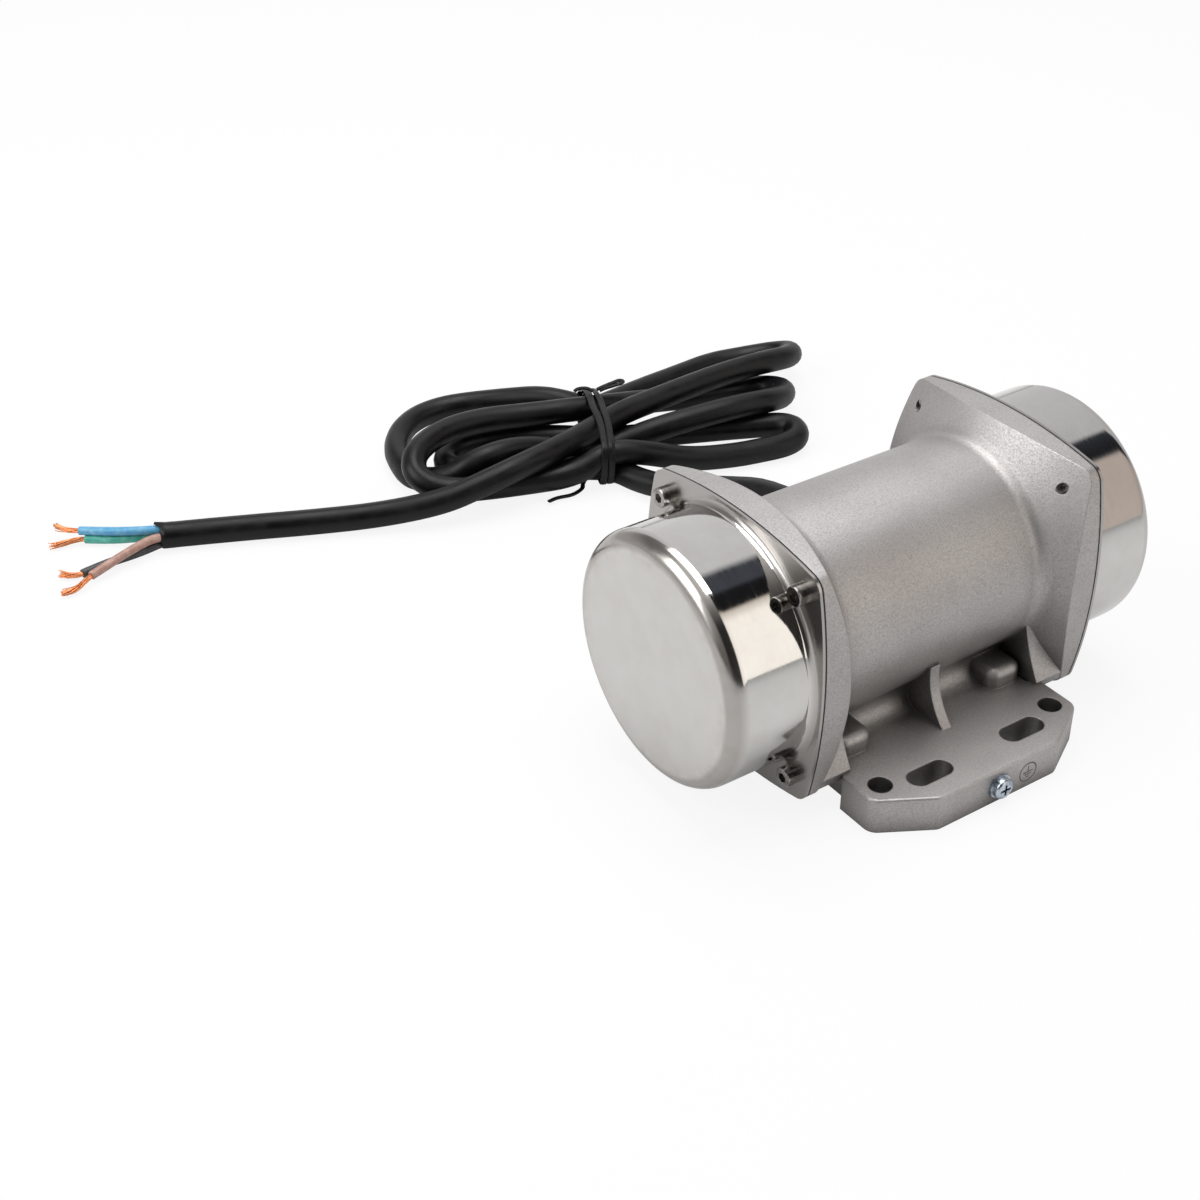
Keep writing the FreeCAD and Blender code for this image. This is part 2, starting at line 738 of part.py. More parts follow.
def make_gasket(end):
    """Flat gasket between casting and cover."""
    plate = bowed_plate(end + "_gasket_plate", "flange_face", "gasket_thickness")
    opening = cylinder(end + "_gasket_opening", "cover_radius - sheet",
                       "gasket_thickness + 2", z="flange_face - 1")
    holes = corner_bars(end + "_gasket_hole", "thread_radius + bolt_gap", "flange_face - 1",
                        "gasket_thickness + 2")
    keep(end + "_gasket", on_shaft(cut(end + "_gasket", plate, [opening] + holes), end))


def cap_screw(name, radius, head_radius, head_height, length, socket, depth,
              x="0", y="0", z="0", turn=NO_TURN):
    """Socket cap screw; local Z leaves the head, origin under the head."""
    shank = cylinder(name + "_shank", radius + " - thread_gap", length, z="0 - (%s)" % length)
    head = cylinder(name + "_head", head_radius, head_height)
    crown = rounded(name + "_crown", head, "cap_edge",
                    is_ring_at(size(head_height), size(head_radius)))
    recess = hexagon(name + "_recess", socket + " * cos(30)", depth + " + 1",
                     z="%s - %s" % (head_height, depth))
    screw = cut(name, fused(name + "_blank", [shank, crown]), [recess])
    return place(screw, x, y, z, turn)


def make_cover_screws(end):
    """Four M3 socket cap screws on a cover."""
    screws = []
    for i, (sx, sy) in enumerate(((1, 1), (-1, 1), (-1, -1), (1, -1))):
        screws.append(cap_screw("%s_cover_screw%d" % (end, i), "thread_radius",
                                "cap_head_radius", "cap_head_height", "cover_screw_length",
                                "cap_socket", "cap_socket_depth",
                                x="%d * cover_pitch" % sx, y="%d * cover_pitch" % sy,
                                z="flange_face + gasket_thickness + sheet"))
    keep(end + "_cover_screws", on_shaft(grouped(end + "_cover_screw_set", screws), end))


def make_shield(end):
    """Aluminium end shield that centres in the casting and carries a bearing."""
    face = "(flange_face - register_depth + shield_thickness)"
    body = turned(end + "_shield_body", [
        ("shield_lip_radius", face),
        ("register_radius", face),
        ("register_radius", "flange_face - register_depth"),
        ("shield_hub_radius", "flange_face - register_depth"),
        ("shield_hub_radius", "bearing_start - shield_nose"),
        ("bearing_radius + fit_gap", "bearing_start - shield_nose"),
        ("bearing_radius + fit_gap", face + " - shield_lip"),
        ("shield_lip_radius", face + " - shield_lip")])
    holes = shield_bars(end + "_shield_hole", "thread_radius + bolt_gap",
                        "flange_face - register_depth - 1", "shield_thickness + 2")
    sinks = []
    for i, (sx, sy) in enumerate(((1, 0), (0, 1), (-1, 0), (0, -1))):
        sinks.append(cone("%s_sink%d" % (end, i), "thread_radius + fit_gap",
                          "cap_head_radius + fit_gap", "sunk_head_height",
                          x="%d * shield_screw_circle" % sx if sx else "0",
                          y="%d * shield_screw_circle" % sy if sy else "0",
                          z=face + " - sunk_head_height"))
    keep(end + "_end_shield", on_shaft(cut(end + "_end_shield", body, holes + sinks), end))


def make_shield_screws(end):
    """Four countersunk M3 screws that hold an end shield."""
    face = "(flange_face - register_depth + shield_thickness)"
    screws = []
    for i, (sx, sy) in enumerate(((1, 0), (0, 1), (-1, 0), (0, -1))):
        name = "%s_shield_screw%d" % (end, i)
        head = cone(name + "_head", "thread_radius - thread_gap", "cap_head_radius",
                    "sunk_head_height", z="0 - sunk_head_height")
        shank = cylinder(name + "_shank", "thread_radius - thread_gap",
                         "shield_screw_length", z="0 - shield_screw_length")
        slots = [block("%s_cross%d" % (name, k), long_side, wide_side,
                       "2 * sunk_cross_depth",
                       x="0 - (%s) / 2" % long_side, y="0 - (%s) / 2" % wide_side, z="0 - sunk_cross_depth")
                 for k, (long_side, wide_side) in enumerate((
                     ("cap_head_radius", "sunk_cross_width"),
                     ("sunk_cross_width", "cap_head_radius")))]
        screw = cut(name, fused(name + "_blank", [head, shank]), slots)
        screws.append(place(screw, "%d * shield_screw_circle" % sx if sx else "0",
                            "%d * shield_screw_circle" % sy if sy else "0", face))
    keep(end + "_shield_screws", on_shaft(grouped(end + "_shield_screw_set", screws), end))


def make_bearing(end):
    """Deep-groove ball bearing 12 x 32 x 10: two races, balls and cage."""
    middle = "bearing_start + bearing_width / 2"
    finish = "bearing_start + bearing_width"
    outer = turned(end + "_outer_ring", [
        ("outer_land", "bearing_start"), ("bearing_radius", "bearing_start"),
        ("bearing_radius", finish), ("outer_land", finish)])
    inner = turned(end + "_inner_ring", [
        ("shaft_radius + fit_gap", "bearing_start"), ("inner_land", "bearing_start"),
        ("inner_land", finish), ("shaft_radius + fit_gap", finish)])
    for ring, label, clear in ((outer, "outer", "race_gap"), (inner, "inner", "run_gap")):
        track = doc.addObject("Part::Torus", "%s_%s_track" % (end, label))
        bind(track, Radius1="bearing_pitch", Radius2="ball_radius + " + clear)
        place(track, z=middle)
        race = cut("%s_%s_race" % (end, label), ring, [track])
        keep("%s_bearing_%s_race" % (end, label), on_shaft(race, end))
    balls = []
    windows = []
    count = int(size("ball_count"))
    for i in range(count):
        angle = 360.0 * i / count
        x = "bearing_pitch * %.9f" % math.cos(math.radians(angle))
        y = "bearing_pitch * %.9f" % math.sin(math.radians(angle))
        balls.append(sphere("%s_ball%d" % (end, i), "ball_radius", x, y, middle))
        inside = "(bearing_pitch - cage_wall) * "
        windows.append(cylinder("%s_window%d" % (end, i), "ball_radius + cage_gap",
                                "2 * cage_wall",
                                inside + "%.9f" % math.cos(math.radians(angle)),
                                inside + "%.9f" % math.sin(math.radians(angle)), middle,
                                turn=FreeCAD.Rotation(Z_AXIS, angle).multiply(TO_REAR)))
    keep(end + "_bearing_balls", on_shaft(grouped(end + "_ball_set", balls), end))
    half_width = "(ball_radius + cage_gap + cage_web)"
    band = turned(end + "_band", [
        ("bearing_pitch - cage_wall / 2", middle + " - " + half_width),
        ("bearing_pitch + cage_wall / 2", middle + " - " + half_width),
        ("bearing_pitch + cage_wall / 2", middle + " + " + half_width),
        ("bearing_pitch - cage_wall / 2", middle + " + " + half_width)])
    keep(end + "_bearing_cage", on_shaft(cut(end + "_cage", band, windows), end))


def make_spring(end):
    """Thin ring between a bearing and its shield: a shim at the front, a spring behind."""
    start = "bearing_start + bearing_width + fit_gap / 2"
    label = "front_shim_ring" if end == "front" else "rear_preload_spring"
    ring = turned(label + "_body", [
        ("outer_land + spring_margin", start), ("bearing_radius - spring_margin", start),
        ("bearing_radius - spring_margin", start + " + spring_thickness"),
        ("outer_land + spring_margin", start + " + spring_thickness")])
    keep(label, on_shaft(ring, end))


def make_shaft():
    """Shaft with bearing seats, keyways and retaining ring grooves."""
    groove = "(weight_start + 2 * weight_thickness + weight_gap + run_gap)"
    half = [
        ("shaft_core_radius", "bearing_start"), ("shaft_radius", "bearing_start"),
        ("shaft_radius", groove), ("ring_groove_radius", groove),
        ("ring_groove_radius", groove + " + ring_thickness + ring_play"),
        ("shaft_radius", groove + " + ring_thickness + ring_play"),
        ("shaft_radius", "shaft_end - shaft_chamfer"),
        ("shaft_radius - shaft_chamfer", "shaft_end")]
    points = half + [("0", "shaft_end"), ("0", "0 - shaft_end")]
    points += [(u, "0 - (" + v + ")") for u, v in reversed(half)]
    bar = turned("shaft_bar", points)
    slots = []
    for end, sign in (("front", "-1"), ("rear", "1")):
        length = "weight_thickness"
        start = "weight_start" if end == "rear" else "0 - weight_start - weight_thickness"
        slots.append(block(end + "_keyway", "key_depth + 1", "key_width + fit_gap", length,
                           x="shaft_radius - key_depth", y="0 - (key_width + fit_gap) / 2",
                           z=start))
    shaft = cut("shaft", bar, slots)
    keep("shaft", place(shaft, z="axis_height", turn=TO_REAR))


def make_rotor():
    """Laminated core and cast aluminium cage."""
    core = turned("rotor_core_body", [
        ("shaft_core_radius + fit_gap", "0 - stack_half"), ("rotor_radius", "0 - stack_half"),
        ("rotor_radius", "stack_half"), ("shaft_core_radius + fit_gap", "stack_half")])
    hole = circle_sketch(core, "bar_hole", "XY_Plane", "rotor_bar_radius + fit_gap",
                         u="rotor_bar_circle", offset="stack_half + 1")
    feature = pocket(core, hole, "2 * stack_half + 2")
    around(core, feature, "rotor_bar_count")
    keep("rotor_core", place(core, z="axis_height", turn=TO_REAR))
    pieces = []
    for i, start in enumerate(("stack_half + fit_gap",
                               "0 - stack_half - fit_gap - end_ring_thickness")):
        pieces.append(turned("end_ring%d" % i, [
            ("end_ring_inner", start), ("rotor_radius - air_gap", start),
            ("rotor_radius - air_gap", start + " + end_ring_thickness"),
            ("end_ring_inner", start + " + end_ring_thickness")]))
    count = int(size("rotor_bar_count"))
    for i in range(count):
        angle = math.radians(360.0 * i / count)
        pieces.append(cylinder("rotor_bar%d" % i, "rotor_bar_radius",
                               "2 * (stack_half + 1)",
                               x="rotor_bar_circle * %.9f" % math.cos(angle),
                               y="rotor_bar_circle * %.9f" % math.sin(angle),
                               z="0 - stack_half - 1"))
    cage = fused("rotor_cage", pieces)
    keep("rotor_cage", place(cage, z="axis_height", turn=TO_REAR))


def make_stator():
    """Slotted stator core and its winding."""
    core = turned("stator_core_body", [
        ("rotor_radius + air_gap", "0 - stack_half"), ("bore_radius", "0 - stack_half"),
        ("bore_radius", "stack_half"), ("rotor_radius + air_gap", "stack_half")])
    round_part = circle_sketch(core, "slot_round", "XY_Plane", "slot_radius",
                               u="slot_circle", offset="stack_half + 1")
    around(core, pocket(core, round_part, "2 * stack_half + 2"), "slot_count")
    mouth = polygon(core, "slot_mouth_outline", "XY_Plane", [
        ("rotor_radius + air_gap - 1", "0 - slot_mouth / 2"),
        ("slot_circle", "0 - slot_mouth / 2"), ("slot_circle", "slot_mouth / 2"),
        ("rotor_radius + air_gap - 1", "slot_mouth / 2")], offset="stack_half + 1")
    around(core, pocket(core, mouth, "2 * stack_half + 2"), "slot_count")
    keep("stator_core", place(core, z="axis_height", turn=TO_REAR))
    pieces = []
    for i, sign in enumerate(("1", "-1")):
        ring = turned("coil_end%d" % i, [
            ("coil_inner", sign + " * coil_start"), ("coil_outer", sign + " * coil_start"),
            ("coil_outer", sign + " * coil_reach"), ("coil_inner", sign + " * coil_reach")])
        soften(ring, "coil_round%d" % i, "coil_edge",
               is_flat_at(size(sign + " * coil_reach")))
        pieces.append(ring)
    count = int(size("slot_count"))
    for i in range(count):
        angle = math.radians(360.0 * i / count)
        pieces.append(cylinder("slot_coil%d" % i, "slot_radius - slot_liner",
                               "2 * (coil_start + 1)",
                               x="slot_circle * %.9f" % math.cos(angle),
                               y="slot_circle * %.9f" % math.sin(angle),
                               z="0 - coil_start - 1"))
    winding = fused("stator_windings", pieces)
    keep("stator_windings", place(winding, z="axis_height", turn=TO_REAR))


def half_disc(name, start):
    """Eccentric lobe: half disc on the local +X side joined to a hub, Z outwards."""
    disc = cylinder(name + "_disc", "weight_radius", "weight_thickness", z=start)
    near_side = block(name + "_near", "weight_radius", "2 * weight_radius",
                      "weight_thickness", y="0 - weight_radius", z=start)
    hub = cylinder(name + "_hub", "weight_hub", "weight_thickness", z=start)
    return [common(name + "_lobe", [disc, near_side]), hub]


def make_fixed_weight(end):
    """Keyed eccentric weight next to the bearing."""
    name = end + "_fixed_weight"
    start = "weight_start"
    blank = fused(name + "_blank", half_disc(name, start))
    bore = cylinder(name + "_bore", "shaft_radius + fit_gap", "weight_thickness + 2",
                    z=start + " - 1")
    keyway = block(name + "_keyway", "key_height - key_depth + shaft_radius + fit_gap",
                   "key_width + fit_gap", "weight_thickness + 2",
                   y="0 - (key_width + fit_gap) / 2", z=start + " - 1")
    keep(name, on_shaft(cut(name, blank, [bore, keyway]), end))
    key = block(end + "_key_block", "key_height", "key_width", "weight_thickness - fit_gap",
                x="shaft_radius - key_depth + fit_gap / 2", y="0 - key_width / 2",
                z=start + " + fit_gap / 2")
    keep(end + "_weight_key", on_shaft(grouped(end + "_key_set", [key]), end))


def make_adjustable_weight(end):
    """Eccentric weight with a split hub, turned on the shaft to set the force."""
    name = end + "_adjustable_weight"
    start = "weight_start + weight_thickness + weight_gap"
    lug = block(name + "_lug", "lug_top", "2 * lug_half", "weight_thickness",
                x="0 - lug_top", y="0 - lug_half", z=start)
    blank = fused(name + "_blank", half_disc(name, start) + [lug])
    middle = start + " + weight_thickness / 2"
    bore = cylinder(name + "_bore", "shaft_radius + slide_gap", "weight_thickness + 2",
                    z=start + " - 1")
    slit = block(name + "_slit", "lug_top + 1", "slit_width", "weight_thickness + 2",
                 x="0 - lug_top - 1", y="0 - slit_width / 2", z=start + " - 1")
    tap = cylinder(name + "_tap", "clamp_radius", "4 * lug_half", x="0 - clamp_height",
                   y="0 - 2 * lug_half", z=middle, turn=ALONG_SIDE)
    keep(name, on_shaft(cut(name, blank, [bore, slit, tap]), end))
    screw = cap_screw(end + "_clamp", "clamp_radius", "clamp_head_radius",
                      "clamp_head_height", "2 * lug_half - clamp_inset",
                      "clamp_socket", "clamp_socket_depth",
                      x="0 - clamp_height", y="lug_half", z=middle, turn=ALONG_SIDE)
    keep(end + "_clamp_screw", on_shaft(grouped(end + "_clamp_set", [screw]), end))


def make_shaft_rings(end):
    """Spacer sleeve behind the weights and retaining ring before them."""
    start = "bearing_start + bearing_width"
    sleeve = turned(end + "_sleeve", [
        ("shaft_radius + fit_gap", start), ("spacer_radius", start),
        ("spacer_radius", "weight_start"), ("shaft_radius + fit_gap", "weight_start")])
    keep(end + "_spacer", on_shaft(sleeve, end))
    level = "(weight_start + 2 * weight_thickness + weight_gap + run_gap + ring_play / 2)"
    ring = cylinder(end + "_ring_disc", "ring_radius", "ring_thickness", z=level)
    bore = cylinder(end + "_ring_bore", "ring_groove_radius + fit_gap", "ring_thickness + 2",
                    z=level + " - 1")
    gap = block(end + "_ring_gap", "2 * ring_radius", "ring_groove_radius",
                "ring_thickness + 2", x="0 - 2 * ring_radius",
                y="0 - ring_groove_radius / 2", z=level + " - 1")
    clip = cut(end + "_retaining_ring", ring, [bore, gap])
    keep(end + "_retaining_ring", on_shaft(clip, end))


def make_earth_screw():
    """Earth terminal: pan head screw and washer in the foot's near side."""
    outwards = FreeCAD.Rotation(X_AXIS, 90)
    washer = turned("earth_washer_body", [
        ("thread_radius + bolt_gap", "foot_half_width"),
        ("earth_washer_radius", "foot_half_width"),
        ("earth_washer_radius", "foot_half_width + earth_washer_thickness"),
        ("thread_radius + bolt_gap", "foot_half_width + earth_washer_thickness")])
    keep("earth_washer", place(washer, z="earth_height", turn=outwards))
    seat = "(foot_half_width + earth_washer_thickness)"
    head = cylinder("earth_head", "earth_head_radius", "earth_head_height", z=seat)
    dome = rounded("earth_dome", head, "earth_dome_edge",
                   is_ring_at(size(seat + " + earth_head_height"), size("earth_head_radius")))
    shank = cylinder("earth_shank", "thread_radius - thread_gap", "earth_length",
                     z=seat + " - earth_length")
    slots = [block("earth_cross%d" % k, a, b, "2 * cross_depth", x="0 - (%s) / 2" % a,
                   y="0 - (%s) / 2" % b, z=seat + " + earth_head_height - cross_depth")
             for k, (a, b) in enumerate((("cross_length", "cross_width"),
                                         ("cross_width", "cross_length")))]
    screw = cut("earth_screw", fused("earth_blank", [dome, shank]), slots)
    keep("earth_screw", place(screw, z="earth_height", turn=outwards))


def make_gland():
    """Brass cable gland with sealing washer, rubber insert and dome nut."""
    at = {"x": "gland_x", "z": "gland_height", "turn": ALONG_SIDE}
    start = "gland_face + gland_washer_thickness"
    finish = start + " + gland_hex_length"
    washer = turned("gland_washer_body", [
        ("gland_thread_radius + fit_gap", "gland_face"), ("gland_hex", "gland_face"),
        ("gland_hex", start), ("gland_thread_radius + fit_gap", start)])
    keep("gland_washer", place(washer, **at))
    way = "cable_radius + run_gap"
    thread = cylinder("gland_thread", "gland_thread_radius - thread_gap",
                      "gland_washer_thickness + gland_thread_length - fit_gap",
                      z=start + " - gland_washer_thickness - gland_thread_length + fit_gap")
    hexed = hexagon("gland_hexagon", "gland_hex", "gland_hex_length", z=start)
    neck = cylinder("gland_neck", "gland_hex - gland_nut_wall", "gland_nut_length / 2",
                    z=finish)
    bore = cylinder("gland_bore", way, "4 * gland_nut_length",
                    z=start + " - gland_nut_length")
    pocket_bore = cylinder("gland_pocket", "gland_hex - 2 * gland_nut_wall",
                           "gland_nut_length", z=start + " + gland_hex_length / 2")
    fitting = cut("gland_body", fused("gland_blank", [thread, hexed, neck]),
                  [bore, pocket_bore])
    keep("gland_body", place(fitting, **at))
    nut_end = finish + " + gland_nut_length"
    nut = hexagon("gland_nut_hex", "gland_hex", "gland_nut_length - fit_gap",
                  z=finish + " + fit_gap")
    dome = cone("gland_nut_dome", "gland_nut_base", "gland_nut_mouth", "gland_nut_length",
                z=finish)
    hollow = cylinder("gland_nut_hollow", "gland_hex - gland_nut_wall + fit_gap",
                      "gland_nut_length - gland_nut_wall + 1", z=finish + " - 1")
    mouth = cylinder("gland_nut_mouth", way, "2 * gland_nut_length", z=finish)
    shell = cut("gland_nut", common("gland_nut_blank", [nut, dome]), [hollow, mouth])
    keep("gland_nut", place(shell, **at))
    seal = turned("gland_seal_body", [
        ("cable_radius + fit_gap", start + " + gland_hex_length / 2 + fit_gap"),
        ("gland_hex - 2 * gland_nut_wall - fit_gap",
         start + " + gland_hex_length / 2 + fit_gap"),
        ("gland_hex - 2 * gland_nut_wall - fit_gap", nut_end + " - gland_nut_wall - fit_gap"),
        ("cable_radius + fit_gap", nut_end + " - gland_nut_wall - fit_gap")])
    keep("gland_seal", place(seal, **at))


def rounded_path(points):
    """Straight runs joined by tangent arcs as large as the runs allow."""
    points = [FreeCAD.Vector(*p) for p in points]
    edges = []
    radii = []
    start = points[0]
    for before, here, after in zip(points, points[1:], points[2:]):
        back = before - here
        ahead = after - here
        trim = 0.45 * min(back.Length, ahead.Length)
        half_turn = (math.pi - back.getAngle(ahead)) / 2
        radius = trim / math.tan(half_turn)
        back.normalize()
        ahead.normalize()
        inwards = (back + ahead).normalize()
        enter = here + back * trim
        leave = here + ahead * trim
        middle = here + inwards * (radius / math.cos(half_turn) - radius)
        edges.append(Part.LineSegment(start, enter).toShape())
        edges.append(Part.Arc(enter, middle, leave).toShape())
        radii.append(radius)
        start = leave
    edges.append(Part.LineSegment(start, points[-1]).toShape())
    return Part.Wire(edges), radii


def tube(name, points, radius):
    """Round solid along a rounded path."""
    path, radii = rounded_path(points)
    begin = FreeCAD.Vector(*points[0])
    heading = FreeCAD.Vector(*points[1]) - begin
    ring = Part.Wire(Part.Circle(begin, heading, size(radius)).toShape())
    solid = path.makePipeShell([ring], True, False)
    thing = doc.addObject("Part::Feature", name)
    thing.Shape = solid
    section = math.pi * size(radius) ** 2
    print("%s: length %.1f, least radius %.1f, volume ratio %.4f"
          % (name, path.Length, min(radii) if radii else 0,
             solid.Volume / (section * path.Length)))
    return thing


def make_hank():
    """Outer shape of the tied hank, waisted where the tie holds it."""
    corners = [FreeCAD.Vector(x, y, 0) for x, y in HANK_PLAN]
    face = Part.Face(Part.makePolygon(corners + corners[:1]))
    slab = face.extrude(FreeCAD.Vector(0, 0, size("hank_height")))
    uprights = [e for e in slab.Edges if is_upright(e)]
    slab = slab.makeFillet(size("hank_round"), uprights)
    top = is_flat_at(size("hank_height"))
    slab = slab.makeFillet(size("hank_edge"), [e for e in slab.Edges if top(e)])
    raw = doc.addObject("Part::Feature", "hank_slab")
    raw.Shape = slab
    turn = FreeCAD.Rotation(Z_AXIS, TIE_ANGLE)

    def across(name, width, half, low, high):
        box = doc.addObject("Part::Box", name)
        bind(box, Length=width, Width="2 * (%s)" % half, Height="(%s) - (%s)" % (high, low))
        corner = turn.multVec(FreeCAD.Vector(-size(width) / 2, -size(half), 0))
        base = FreeCAD.Vector(TIE_CENTRE[0], TIE_CENTRE[1], size(low)) + corner
        box.Placement = FreeCAD.Placement(base, turn)
        return box

    top_level = "(hank_height + tie_thickness)"
    core = ("tie_half - tie_thickness", "tie_thickness", "hank_height")
    band = across("tie_band", "tie_width", "tie_half", "0", top_level)
    band_hole = across("tie_hole", "tie_width + 2", *core)
    keep("cable_tie", cut("cable_tie", band, [band_hole]))
    waist = across("waist", "tie_width + 2 * fit_gap", "3 * tie_half", "-1", "2 * hank_height")
    waist_core = across("waist_core", "tie_width + 4 * fit_gap",
                        "tie_half - tie_thickness - fit_gap", "tie_thickness + fit_gap",
                        "hank_height - fit_gap")
    groove = cut("waist_groove", waist, [waist_core])
    keep("cable_hank", cut("cable_hank", raw, [groove]))


def make_cable():
    """Cable from the gland to the hank and on to its stripped end."""
    keep("cable_lead", tube("cable_lead", LEAD_ROUTE, "cable_radius"))
    make_hank()
    keep("cable_free_run", tube("cable_free_run", FREE_ROUTE, "cable_radius"))
    tip = FreeCAD.Vector(*FREE_ROUTE[-1])
    heading = (tip - FreeCAD.Vector(*FREE_ROUTE[-2])).normalize()
    across = Z_AXIS.cross(heading).normalize()
    pitch = size("core_pitch")
    copper = []
    for label, (right, up), bend, end, last in CORES:
        begin = tip + across * (-right * pitch) + Z_AXIS * (up * pitch)
        name = "core_" + label
        route = [tuple(begin), bend, end]
        keep(name, tube(name, route, "core_radius"))
        way = (FreeCAD.Vector(*end) - FreeCAD.Vector(*bend)).normalize()
        joint = FreeCAD.Vector(*end) + way * 2.5
        copper.append(tube("copper_" + label, [end, tuple(joint), last], "copper_radius"))
    keep("copper_ends", grouped("copper_ends", copper))


def make_internal_leads():
    """Four short leads from the cable's inner end to the coil end."""
    leads = []
    cable_end = "%.3f" % LEAD_ROUTE[0][1]
    for i, (sx, sz) in enumerate(((1, 1), (-1, 1), (-1, -1), (1, -1))):
        below = "(axis_height - gland_height - %d * core_pitch - lead_radius)" % sz
        coil_side = "sqrt(coil_outer^2 - %s^2) + fit_gap" % below
        leads.append(cylinder("inner_lead%d" % i, "lead_radius",
                              "%s - (%s)" % (cable_end, coil_side),
                              x="gland_x + %d * core_pitch" % sx, y=coil_side,
                              z="gland_height + %d * core_pitch" % sz, turn=ALONG_SIDE))
    keep("internal_leads", grouped("internal_leads", leads))


def check_document():
    """Stop if anything failed to build."""
    doc.recompute()
    for thing in doc.Objects:
        if "Invalid" in thing.State or "Error" in thing.State:
            raise RuntimeError("failed object: " + thing.Name)
    for label, thing in named_parts.items():
        shape = thing.Shape
        if shape.isNull() or not shape.isValid() or not shape.Solids:
            raise RuntimeError("bad shape: " + label)


make_housing()
for shaft_side in ENDS:
    make_cover(shaft_side)
    make_gasket(shaft_side)
    make_cover_screws(shaft_side)
    make_shield(shaft_side)
    make_shield_screws(shaft_side)
    make_bearing(shaft_side)
    make_spring(shaft_side)
    make_fixed_weight(shaft_side)
    make_adjustable_weight(shaft_side)
    make_shaft_rings(shaft_side)
make_shaft()
make_rotor()
make_stator()
make_earth_screw()
make_gland()
make_cable()
make_internal_leads()
check_document()

os.makedirs("parts", exist_ok=True)
for part_label, part_object in named_parts.items():
    part_object.Shape.exportStep("parts/%s.step" % part_label)
    print("%-28s %2d solid(s) %10.1f mm3"
          % (part_label, len(part_object.Shape.Solids), part_object.Shape.Volume))
print(len(named_parts), "nodes")
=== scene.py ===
"""Vibration motor with its tied cable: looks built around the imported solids.

The frame is in metres: origin on the foot's underside below the middle of the shaft, +X along
the shaft towards the rear cover, +Z up. The cable leaves the motor on its +Y side.
"""

import logging
import math
import random
from dataclasses import dataclass, field
from enum import Enum
from typing import Any, ClassVar, Mapping, Sequence

import bmesh
import bpy
from mathutils import Matrix, Vector

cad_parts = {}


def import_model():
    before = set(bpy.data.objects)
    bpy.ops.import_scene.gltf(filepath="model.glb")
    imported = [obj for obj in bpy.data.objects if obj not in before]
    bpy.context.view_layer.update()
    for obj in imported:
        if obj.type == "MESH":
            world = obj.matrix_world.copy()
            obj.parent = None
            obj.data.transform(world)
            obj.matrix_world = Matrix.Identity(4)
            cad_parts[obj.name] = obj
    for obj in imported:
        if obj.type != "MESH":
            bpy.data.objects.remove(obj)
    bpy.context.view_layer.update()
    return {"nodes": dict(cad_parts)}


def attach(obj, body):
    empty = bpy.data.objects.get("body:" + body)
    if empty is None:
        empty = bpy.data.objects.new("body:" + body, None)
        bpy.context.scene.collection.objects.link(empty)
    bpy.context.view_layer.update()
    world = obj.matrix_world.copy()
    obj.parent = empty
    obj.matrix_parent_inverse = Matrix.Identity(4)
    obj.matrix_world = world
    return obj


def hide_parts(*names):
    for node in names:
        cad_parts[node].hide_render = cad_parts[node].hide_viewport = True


LOG = logging.getLogger("vibration_motor")
MM = 0.001
AXIS_HEIGHT = 40.0 * MM
MOTOR = "motor"
UP = Vector((0, 0, 1))
# Least height of the corners of the strands, the sheath's end and the tie.
FLOOR_GAP = 0.1 * MM
# Length of one wave of a wave texture at scale 1.
WAVE_PITCH = 0.314
# Squeeze that turns noise to lines around the shaft.
LINE_SQUEEZE = (1.0, 0.03, 0.03)
# Steps between two points of a cord's curve, fineness of its section, steps of a smooth line.
CURVE_STEPS = 8
SECTION_STEPS = 7
LINE_STEPS = 5

Socket = bpy.types.NodeSocket
Tree = bpy.types.NodeTree
Piece = bpy.types.Object
Shape = bmesh.types.BMesh
Point = tuple[float, float, float]


# -------- colours and nodes


def colour(code: str) -> tuple[float, float, float, float]:
    """Turn an sRGB hex colour to linear RGBA.

    Args:
        code: Colour such as "#9f9a95".

    Returns:
        Linear red, green, blue and an alpha of 1.
    """
    parts = [int(code.lstrip("#")[i:i + 2], 16) / 255 for i in (0, 2, 4)]
    red, green, blue = (p / 12.92 if p <= 0.04045 else ((p + 0.055) / 1.055) ** 2.4
                        for p in parts)
    return (red, green, blue, 1.0)


def add_node(tree: Tree, kind: str, settings: Mapping[Any, Any] | None = None,
             links: Mapping[Any, Socket] | None = None) -> bpy.types.Node:
    """Add one node with its settings and links.

    Args:
        tree: Node tree that gets the node.
        kind: Node type without its "ShaderNode" prefix.
        settings: Values by input name or number, or by property name.
        links: Source sockets by input name or number.

    Returns:
        The new node.
    """
    node = tree.nodes.new("ShaderNode" + kind)
    for key, value in (settings or {}).items():
        if isinstance(key, int) or key in node.inputs:
            node.inputs[key].default_value = value
        else:
            setattr(node, key, value)
    for key, source in (links or {}).items():
        tree.links.new(source, node.inputs[key])
    return node


def colour_ramp(tree: Tree, source: Socket, stops: Sequence[tuple[float, str]]) -> Socket:
    """Lay a colour ramp over a value.

    Args:
        tree: Node tree that gets the ramp.
        source: Value from 0 to 1.
        stops: Places from 0 to 1 with their hex colours.

    Returns:
        The ramp's colour.
    """
    node = add_node(tree, "ValToRGB", {}, {"Fac": source})
    line = node.color_ramp
    while len(line.elements) < len(stops):
        line.elements.new(0.5)
    for element, (at, code) in zip(line.elements, stops):
        element.position = at
        element.color = colour(code)
    return node.outputs["Color"]


def product(tree: Tree, first: Socket, second: Socket) -> Socket:
    """Multiply two values.

    Args:
        tree: Node tree that gets the node.
        first: One value.
        second: The other value.

    Returns:
        Their product.
    """
    return add_node(tree, "Math", {"operation": "MULTIPLY"}, {0: first, 1: second}).outputs[0]


